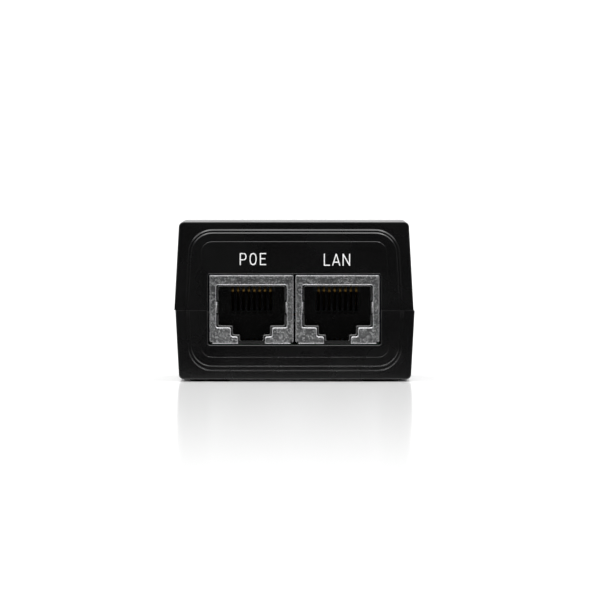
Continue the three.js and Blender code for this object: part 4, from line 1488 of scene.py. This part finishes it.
def make_inlet():
    """The inlet's housing: rim, collar, lead-in, and a raised seat round each pin."""
    half, tall, cut = INLET_HALF, INLET_TALL, INLET_CHAMFER
    sections = [
        (half - 0.3, tall - 0.3, cut, 0.7, INLET_FRONT),
        (half, tall, cut, 1.0, INLET_FRONT + 0.3),
    ]
    for a in QUARTER:
        back, y = RIM_ROUND * (1 - math.cos(a)), REAR_Y - RIM_ROUND * (1 - math.sin(a))
        sections.append((half - back, tall - back, cut - 0.6 * back, 1.0, y))
    half, tall, cut = half - INLET_WALL, tall - INLET_WALL - 0.1, cut - RECESS_CUT
    for a in reversed(QUARTER):
        out, y = LEAD_IN * (1 - math.cos(a)), REAR_Y - LEAD_IN * (1 - math.sin(a))
        sections.append((half + out, tall + out, cut + 0.6 * out, 0.6, y))
    floor = INLET_FRONT + INLET_BASE
    for back, up in ((0.0, 0.3), (0.09, 0.09), (0.3, 0.0)):
        sections.append((half - back, tall - back, cut, 0.6, floor + up))
    housing = loft("inlet", [at_y(inlet_outline(*sizes), y) for *sizes, y in sections])

    rear = REAR_Y - WALL - 0.02
    front = rear - COLLAR_THICK
    outline = inlet_outline(COLLAR_HALF, COLLAR_TALL, INLET_CHAMFER, 1.0)
    hole = inlet_outline(INLET_HALF - 0.7, INLET_TALL - 0.7, INLET_CHAMFER, 0.6)
    collar = prism_along_y(outline, front, rear)
    boolean(collar, [prism_along_y(hole, front - OVERCUT, rear + OVERCUT)], "DIFFERENCE")
    seats, holes = [], []
    for x, z in PINS.values():
        wide, tall = PIN_WIDTH / 2 + SEAT_BORDER, PIN_TALL / 2 + SEAT_BORDER
        outline = rounded_polygon(rectangle(x - wide, x + wide, z - tall, z + tall), 0.6)
        seats.append(prism_along_y(outline, floor - 0.5, floor + SEAT_TALL))
        wide, tall = PIN_WIDTH / 2 + 0.02, PIN_TALL / 2 + 0.02
        holes.append(block(x, wide, INLET_FRONT - OVERCUT, floor + 2, z - tall, z + tall))
    boolean(housing, [collar, *seats], "UNION")
    boolean(housing, holes, "DIFFERENCE")
    housing.name = "mains_inlet"
    soften(housing, 0.08, angle=55)
    add_piece(housing, "black_housing", INLET_PLASTIC, "inlet_housing", sharp=50)


def make_pins():
    """Flat pins with rounded edges and tips, each with a solder lug behind the housing."""
    for name, (x, z) in PINS.items():
        box = box_mm(name)
        tip, root = box.high.y, box.low.y
        stations = [(INLET_FRONT - 0.02, 1.0, 1.0)]
        stations += [(tip - back, wide, tall) for back, wide, tall in PIN_TIP]
        rings = []
        for y, wide, tall in stations:
            ring = rounded_rectangle(PIN_WIDTH * wide, PIN_TALL * tall, 0.3 * wide, steps=4)
            rings.append([(x + p.x, y, z + p.y) for p in ring])
        blade = loft("blade", rings)
        low, high = z - PIN_TALL / 2, z + PIN_TALL / 2
        lug = block(x, LUG_HALF, root, INLET_FRONT + 0.5, low, high, rounding=0.15)
        radius, x0, x1 = EYE["radius"], x - 2, x + 2
        through = [(0, x0), (radius, x0), (radius, x1), (0, x1)]
        eye = turned("eye", (0, root + EYE["from_end"], z), through, segments=24, axis="X")
        boolean(lug, [eye], "DIFFERENCE")
        pin = join_objects(f"{name}_blade", [blade, lug])
        add_piece(pin, "inlet_pin", NICKEL, name, sharp=40)


def make_wires():
    for name, points in WIRES.items():
        section = circle(WIRE_RADIUS, 20)
        wire = sweep(f"{name}_lead", smooth_path(points), section, ALONG_X)
        soften(wire, 0.08, angle=60)
        slot, material = INSULATION[name]
        add_piece(wire, slot, material, name, sharp=60)


# ---------------------------------------------------------------- board and its parts

VENT = {"reach": 0.62, "half": 0.12, "deep": 0.16}
STRIPE_HALF = 0.42  # half the angle that a sleeve's stripe takes up, in radians


def make_electrolytic(node):
    """A sleeved can: crimped waist, rolled edge, and a bare lid with a vent scored in it."""
    low, high, x, y, radius = box_mm(node)
    sleeve_top = high.z - 0.15
    lid = radius - 0.75
    profile = [
        (0, low.z),
        *arc(radius - 0.5, low.z + 0.5, 0.5, 0.5, -90, 0),
        (radius, low.z + 1.3),
        (radius - 0.14, low.z + 1.6),
        (radius - 0.4, low.z + 2.0),
        (radius - 0.4, low.z + 2.2),
        (radius - 0.14, low.z + 2.6),
        (radius, low.z + 2.9),
        *arc(radius - 0.5, sleeve_top - 0.5, 0.5, 0.65, 0, 90),
        (lid, sleeve_top + 0.1),
        (lid - 0.05, sleeve_top - 0.05),
        (lid - 0.5, sleeve_top - 0.02),
        (0, sleeve_top),
    ]
    can = turned(f"{node}_can", (x, y, 0), profile, segments=56)
    for material in (SLEEVE, CAN_ALUMINIUM, SLEEVE_STRIPE):
        can.data.materials.append(material)
    for face in can.data.polygons:
        centre = face.center / MM - Vector((x, y, 0))
        away = centre.xy.length
        if away < lid + 0.02 and centre.z > low.z + 3:
            face.material_index = 1
        elif away > radius - 0.6 and abs(math.atan2(centre.y, centre.x)) < STRIPE_HALF:
            face.material_index = 2
    grooves = []
    for turn in (math.pi / 4, -math.pi / 4):
        half, base = VENT["half"], sleeve_top - VENT["deep"]
        grooves.append(block(0, lid * VENT["reach"], -half, half, base, sleeve_top + OVERCUT))
        turn_and_move(grooves[-1], turn, x, y)
    boolean(can, grooves, "DIFFERENCE")
    add_piece(can, "capacitor_sleeve", None, node, sharp=45)


def make_fuse():
    low, high, x, y, radius = box_mm("fuse")
    cap = radius - 0.25
    profile = [
        (0, low.z),
        (radius - 0.1, low.z),
        (radius, low.z + 0.1),
        (radius, low.z + 0.8),
        (radius - 0.1, low.z + 0.9),
        (cap, low.z + 0.92),
        *arc(cap - 0.7, high.z - 0.7, 0.7, 0.7, 0, 90),
        (0, high.z),
    ]
    fuse = turned("fuse_cap", (x, y, 0), profile)
    add_piece(fuse, "black_epoxy", EPOXY, "fuse", sharp=40)


def make_disc(node):
    """A dipped disc on two wire legs, its lacquer running a little way down each leg."""
    low, high, x, y, radius = box_mm(node)
    half = (high.y - low.y) / 2
    z = high.z - radius
    edge = min(half, 1.2)
    profile = [
        (0, -half),
        (radius * 0.5, -half * 0.98),
        *arc(radius - edge, 0, edge, half * 0.92, -90, 90, 8),
        (radius * 0.5, half * 0.98),
        (0, half),
    ]
    bottom = z - radius
    skirt_profile = [
        (0, bottom - 0.5),
        (0.36, bottom - 0.5),
        (0.7, bottom + 0.9),
        (0.75, z - radius * 0.6),
        (0, z - radius * 0.5),
    ]
    disc = turned("disc", (x, y, z), profile, axis="Y")
    disc.data.materials.append(BLUE_LACQUER)
    parts = [disc]
    for side in (-1, 1):
        leg_x = x + side * radius * 0.5
        skirt = turned("skirt", (leg_x, y, 0), skirt_profile, segments=20)
        skirt.data.materials.append(BLUE_LACQUER)
        leg = cylinder(leg_x, y, BOARD_TOP + 0.02, z - radius * 0.6, 0.29, segments=16)
        leg.data.materials.append(TINNED_WIRE)
        parts += [skirt, leg]
    add_piece(join_objects(f"{node}_disc", parts), "blue_epoxy", None, node, sharp=50)


def make_x_capacitor():
    """A boxed film capacitor: rounded case, with its epoxy fill just inside the open underside."""
    low, high, x, _, half = box_mm("x_capacitor")
    case = block(x, half, low.y, high.y, low.z, high.z, rounding=0.35)
    pocket = block(x, half - 0.7, low.y + 0.7, high.y - 0.7, low.z - 0.5, low.z + 0.5)
    boolean(case, [pocket], "DIFFERENCE")
    case.name = "x_capacitor_box"
    add_piece(case, "yellow_case", YELLOW_BOX, "x_capacitor")


CHOKE_BORE = 2.8
CHOKE_WIRE = 0.38
CHOKE_TURNS = 11
CHOKE_SEGMENTS = 64
WINDING_FROM, WINDING_SPAN = 24, 132  # each half winding's first angle and spread, in degrees
CHOKE_LEG = 3.0


def make_choke():
    """The mains choke: a coated ring core with two half windings laid turn beside turn."""
    low, high, x, y, outer = box_mm("mains_choke_core")
    section = rounded_polygon(rectangle(CHOKE_BORE, outer, low.z, high.z), 0.5, 4)
    rings = []
    for cos, sin in circle(1.0, CHOKE_SEGMENTS):
        rings.append([(x + r * cos, y + r * sin, z) for r, z in section])
    core = loft("mains_choke_ring", rings, closed=True)
    add_piece(core, "ferrite", FERRITE, "mains_choke_core")

    gap = CHOKE_WIRE + 0.03
    around = rectangle(CHOKE_BORE - gap, outer + gap, low.z - gap, high.z + gap)
    loop = rounded_polygon(around, 0.6, 3)
    total = CHOKE_TURNS * len(loop)
    strands = []
    for side in (0, 1):
        path = []
        for i in range(total + 1):
            r, z = loop[i % len(loop)]
            angle = math.radians(side * 180 + WINDING_FROM + WINDING_SPAN * i / total)
            path.append(Vector((x + r * math.cos(angle), y + r * math.sin(angle), z)))
        strands.append(sweep("winding", path, circle(CHOKE_WIRE, 8), Vector((0, 1, 0))))
        for foot in (path[0], path[-1]):
            leg_x = x + math.copysign(CHOKE_LEG, foot.x - x)
            leg_y = y + (CHOKE_LEG if side == 0 else -CHOKE_LEG)
            route = [
                foot,
                ((foot.x + leg_x) / 2, (foot.y + leg_y) / 2, foot.z - 0.8),
                (leg_x, leg_y, BOARD_TOP + 0.9),
                (leg_x, leg_y, BOARD_TOP + 0.05),
            ]
            strands.append(sweep("leg", smooth_path(route, 5), circle(CHOKE_WIRE, 8), ALONG_X))
    winding = join_objects("mains_choke_turns", strands)
    add_piece(winding, "copper", COPPER, "mains_choke_winding", sharp=50)


def make_led():
    led = box_mm("status_led")
    radius, base = LIGHT["led"], led.low.z
    profile = [
        (0, base),
        (radius + 0.3, base),
        (radius + 0.3, base + 0.9),
        (radius + 0.2, base + 1.0),
        (radius, base + 1.05),
        *arc(0, base + 3.4, radius, 1.5, 0, 90, 8)[:-1],
        (0, led.high.z),
    ]
    lens = turned("status_led_lens", (0, LIGHT["y"], 0), profile, segments=40)
    add_piece(lens, "clear_plastic", CLEAR_PLASTIC, "status_led", sharp=45)


# How far a two-legged part's legs stand from its middle
LEG_SPREAD = {
    "fuse": 2.5,
    "surge_varistor": 2.15,
    "y_capacitor": 1.75,
    "x_capacitor": 5.0,
    "bulk_capacitor": 2.5,
    "output_capacitor_1": 1.75,
    "output_capacitor_2": 1.75,
    "status_led": 1.27,
}


def solder_places():
    """Where legs come through the board: x, y and the radius of the solder there."""
    places = []
    for number in CONTACTS:
        places += [(contact_x(port, number), PIN_ROWS[number % 2], 0.42) for port in JACK_X]
    for node, spread in LEG_SPREAD.items():
        part = box_mm(node)
        places += [(part.x - spread, part.y, 0.6), (part.x + spread, part.y, 0.6)]
    bobbin = box_mm("transformer_bobbin")
    for i in (-4.5, -1.5, 1.5, 4.5):
        places += [(bobbin.x + i, bobbin.y + side * 5.2, 0.65) for side in (-1, 1)]
    places += [(14.2, y, 0.6) for y in (-10.14, -7.6, -5.06)]
    places += [(2.7, -18.4, 0.65), (9.6, -18.4, 0.65)]
    return places + [(points[-1][0], points[-1][1], 0.9) for points in WIRES.values()]


def make_solder():
    """Solder cones under the board, one for each leg and pin."""
    base = BOARD.low.z
    cones = []
    for x, y, radius in solder_places():
        profile = [
            (0, base - 1.2),
            (0.18, base - 1.15),
            (0.22, base - 0.9),
            (radius * 0.5, base - 0.45),
            (radius * 0.8, base - 0.15),
            (radius, base - 0.03),
            (radius + 0.15, base + 0.01),
            (0, base + 0.02),
        ]
        cones.append(turned("cone", (x, y, 0), profile, segments=14))
    add_piece(join_objects("solder_joints", cones), "screw_steel", SOLDER, sharp=60)


PRINTED_PARTS = (
    "fuse",
    "surge_varistor",
    "x_capacitor",
    "mains_choke_core",
    "bridge_rectifier",
    "bulk_capacitor",
    "transformer_core",
    "optocoupler",
    "y_capacitor",
    "output_diode",
    "output_capacitor_1",
    "output_capacitor_2",
    "controller_chip",
)
PRINT = {"gap": 0.35, "line": 0.18, "thick": 0.03}


def make_board_print():
    """White printed outlines of the parts on the board's top."""
    gap, line = PRINT["gap"], PRINT["line"]
    bm = bmesh.new()
    for node in PRINTED_PARTS:
        part = box_mm(node)
        x0, x1, y0, y1 = part.low.x - gap, part.high.x + gap, part.low.y - gap, part.high.y + gap
        strips = (
            (x0, x1, y0, y0 + line),
            (x0, x1, y1 - line, y1),
            (x0, x0 + line, y0 + line, y1 - line),
            (x1 - line, x1, y0 + line, y1 - line),
        )
        for a, b, c, d in strips:
            add_cube(bm, (a, c, BOARD_TOP), (b, d, BOARD_TOP + PRINT["thick"]))
    add_piece(object_from_bmesh("board_print", bm), "board", INK, sharp=None)


# The CAD nodes that stay in view: their material, and the rounding of their edges
DRESSED = {
    "circuit_board": (BOARD_MASK, 0.12),
    "bridge_rectifier": (EPOXY, 0.12),
    "transformer_core": (FERRITE, 0.25),
    "transformer_bobbin": (EPOXY, 0.12),
    "transformer_winding": (YELLOW_TAPE, 0.2),
    "switching_transistor": (EPOXY, 0.2),
    "transistor_heat_sink": (MILL_ALUMINIUM, 0.12),
    "optocoupler": (WHITE_EPOXY, 0.12),
    "output_diode": (EPOXY, 0.1),
    "controller_chip": (EPOXY, 0.08),
}


def make_board_parts():
    for node, (material, rounding) in DRESSED.items():
        dress(node, material, rounding)
    for node in ("bulk_capacitor", "output_capacitor_1", "output_capacitor_2"):
        make_electrolytic(node)
    make_fuse()
    make_disc("surge_varistor")
    make_disc("y_capacitor")
    make_x_capacitor()
    make_choke()
    make_led()
    make_solder()
    make_board_print()


# ---------------------------------------------------------------- everything

make_top_shell()
make_bottom_shell()
make_rating_label()
make_screws()
make_feet()
make_light_pipe()
make_legends()
make_jacks()
make_inlet()
make_pins()
make_wires()
make_board_parts()
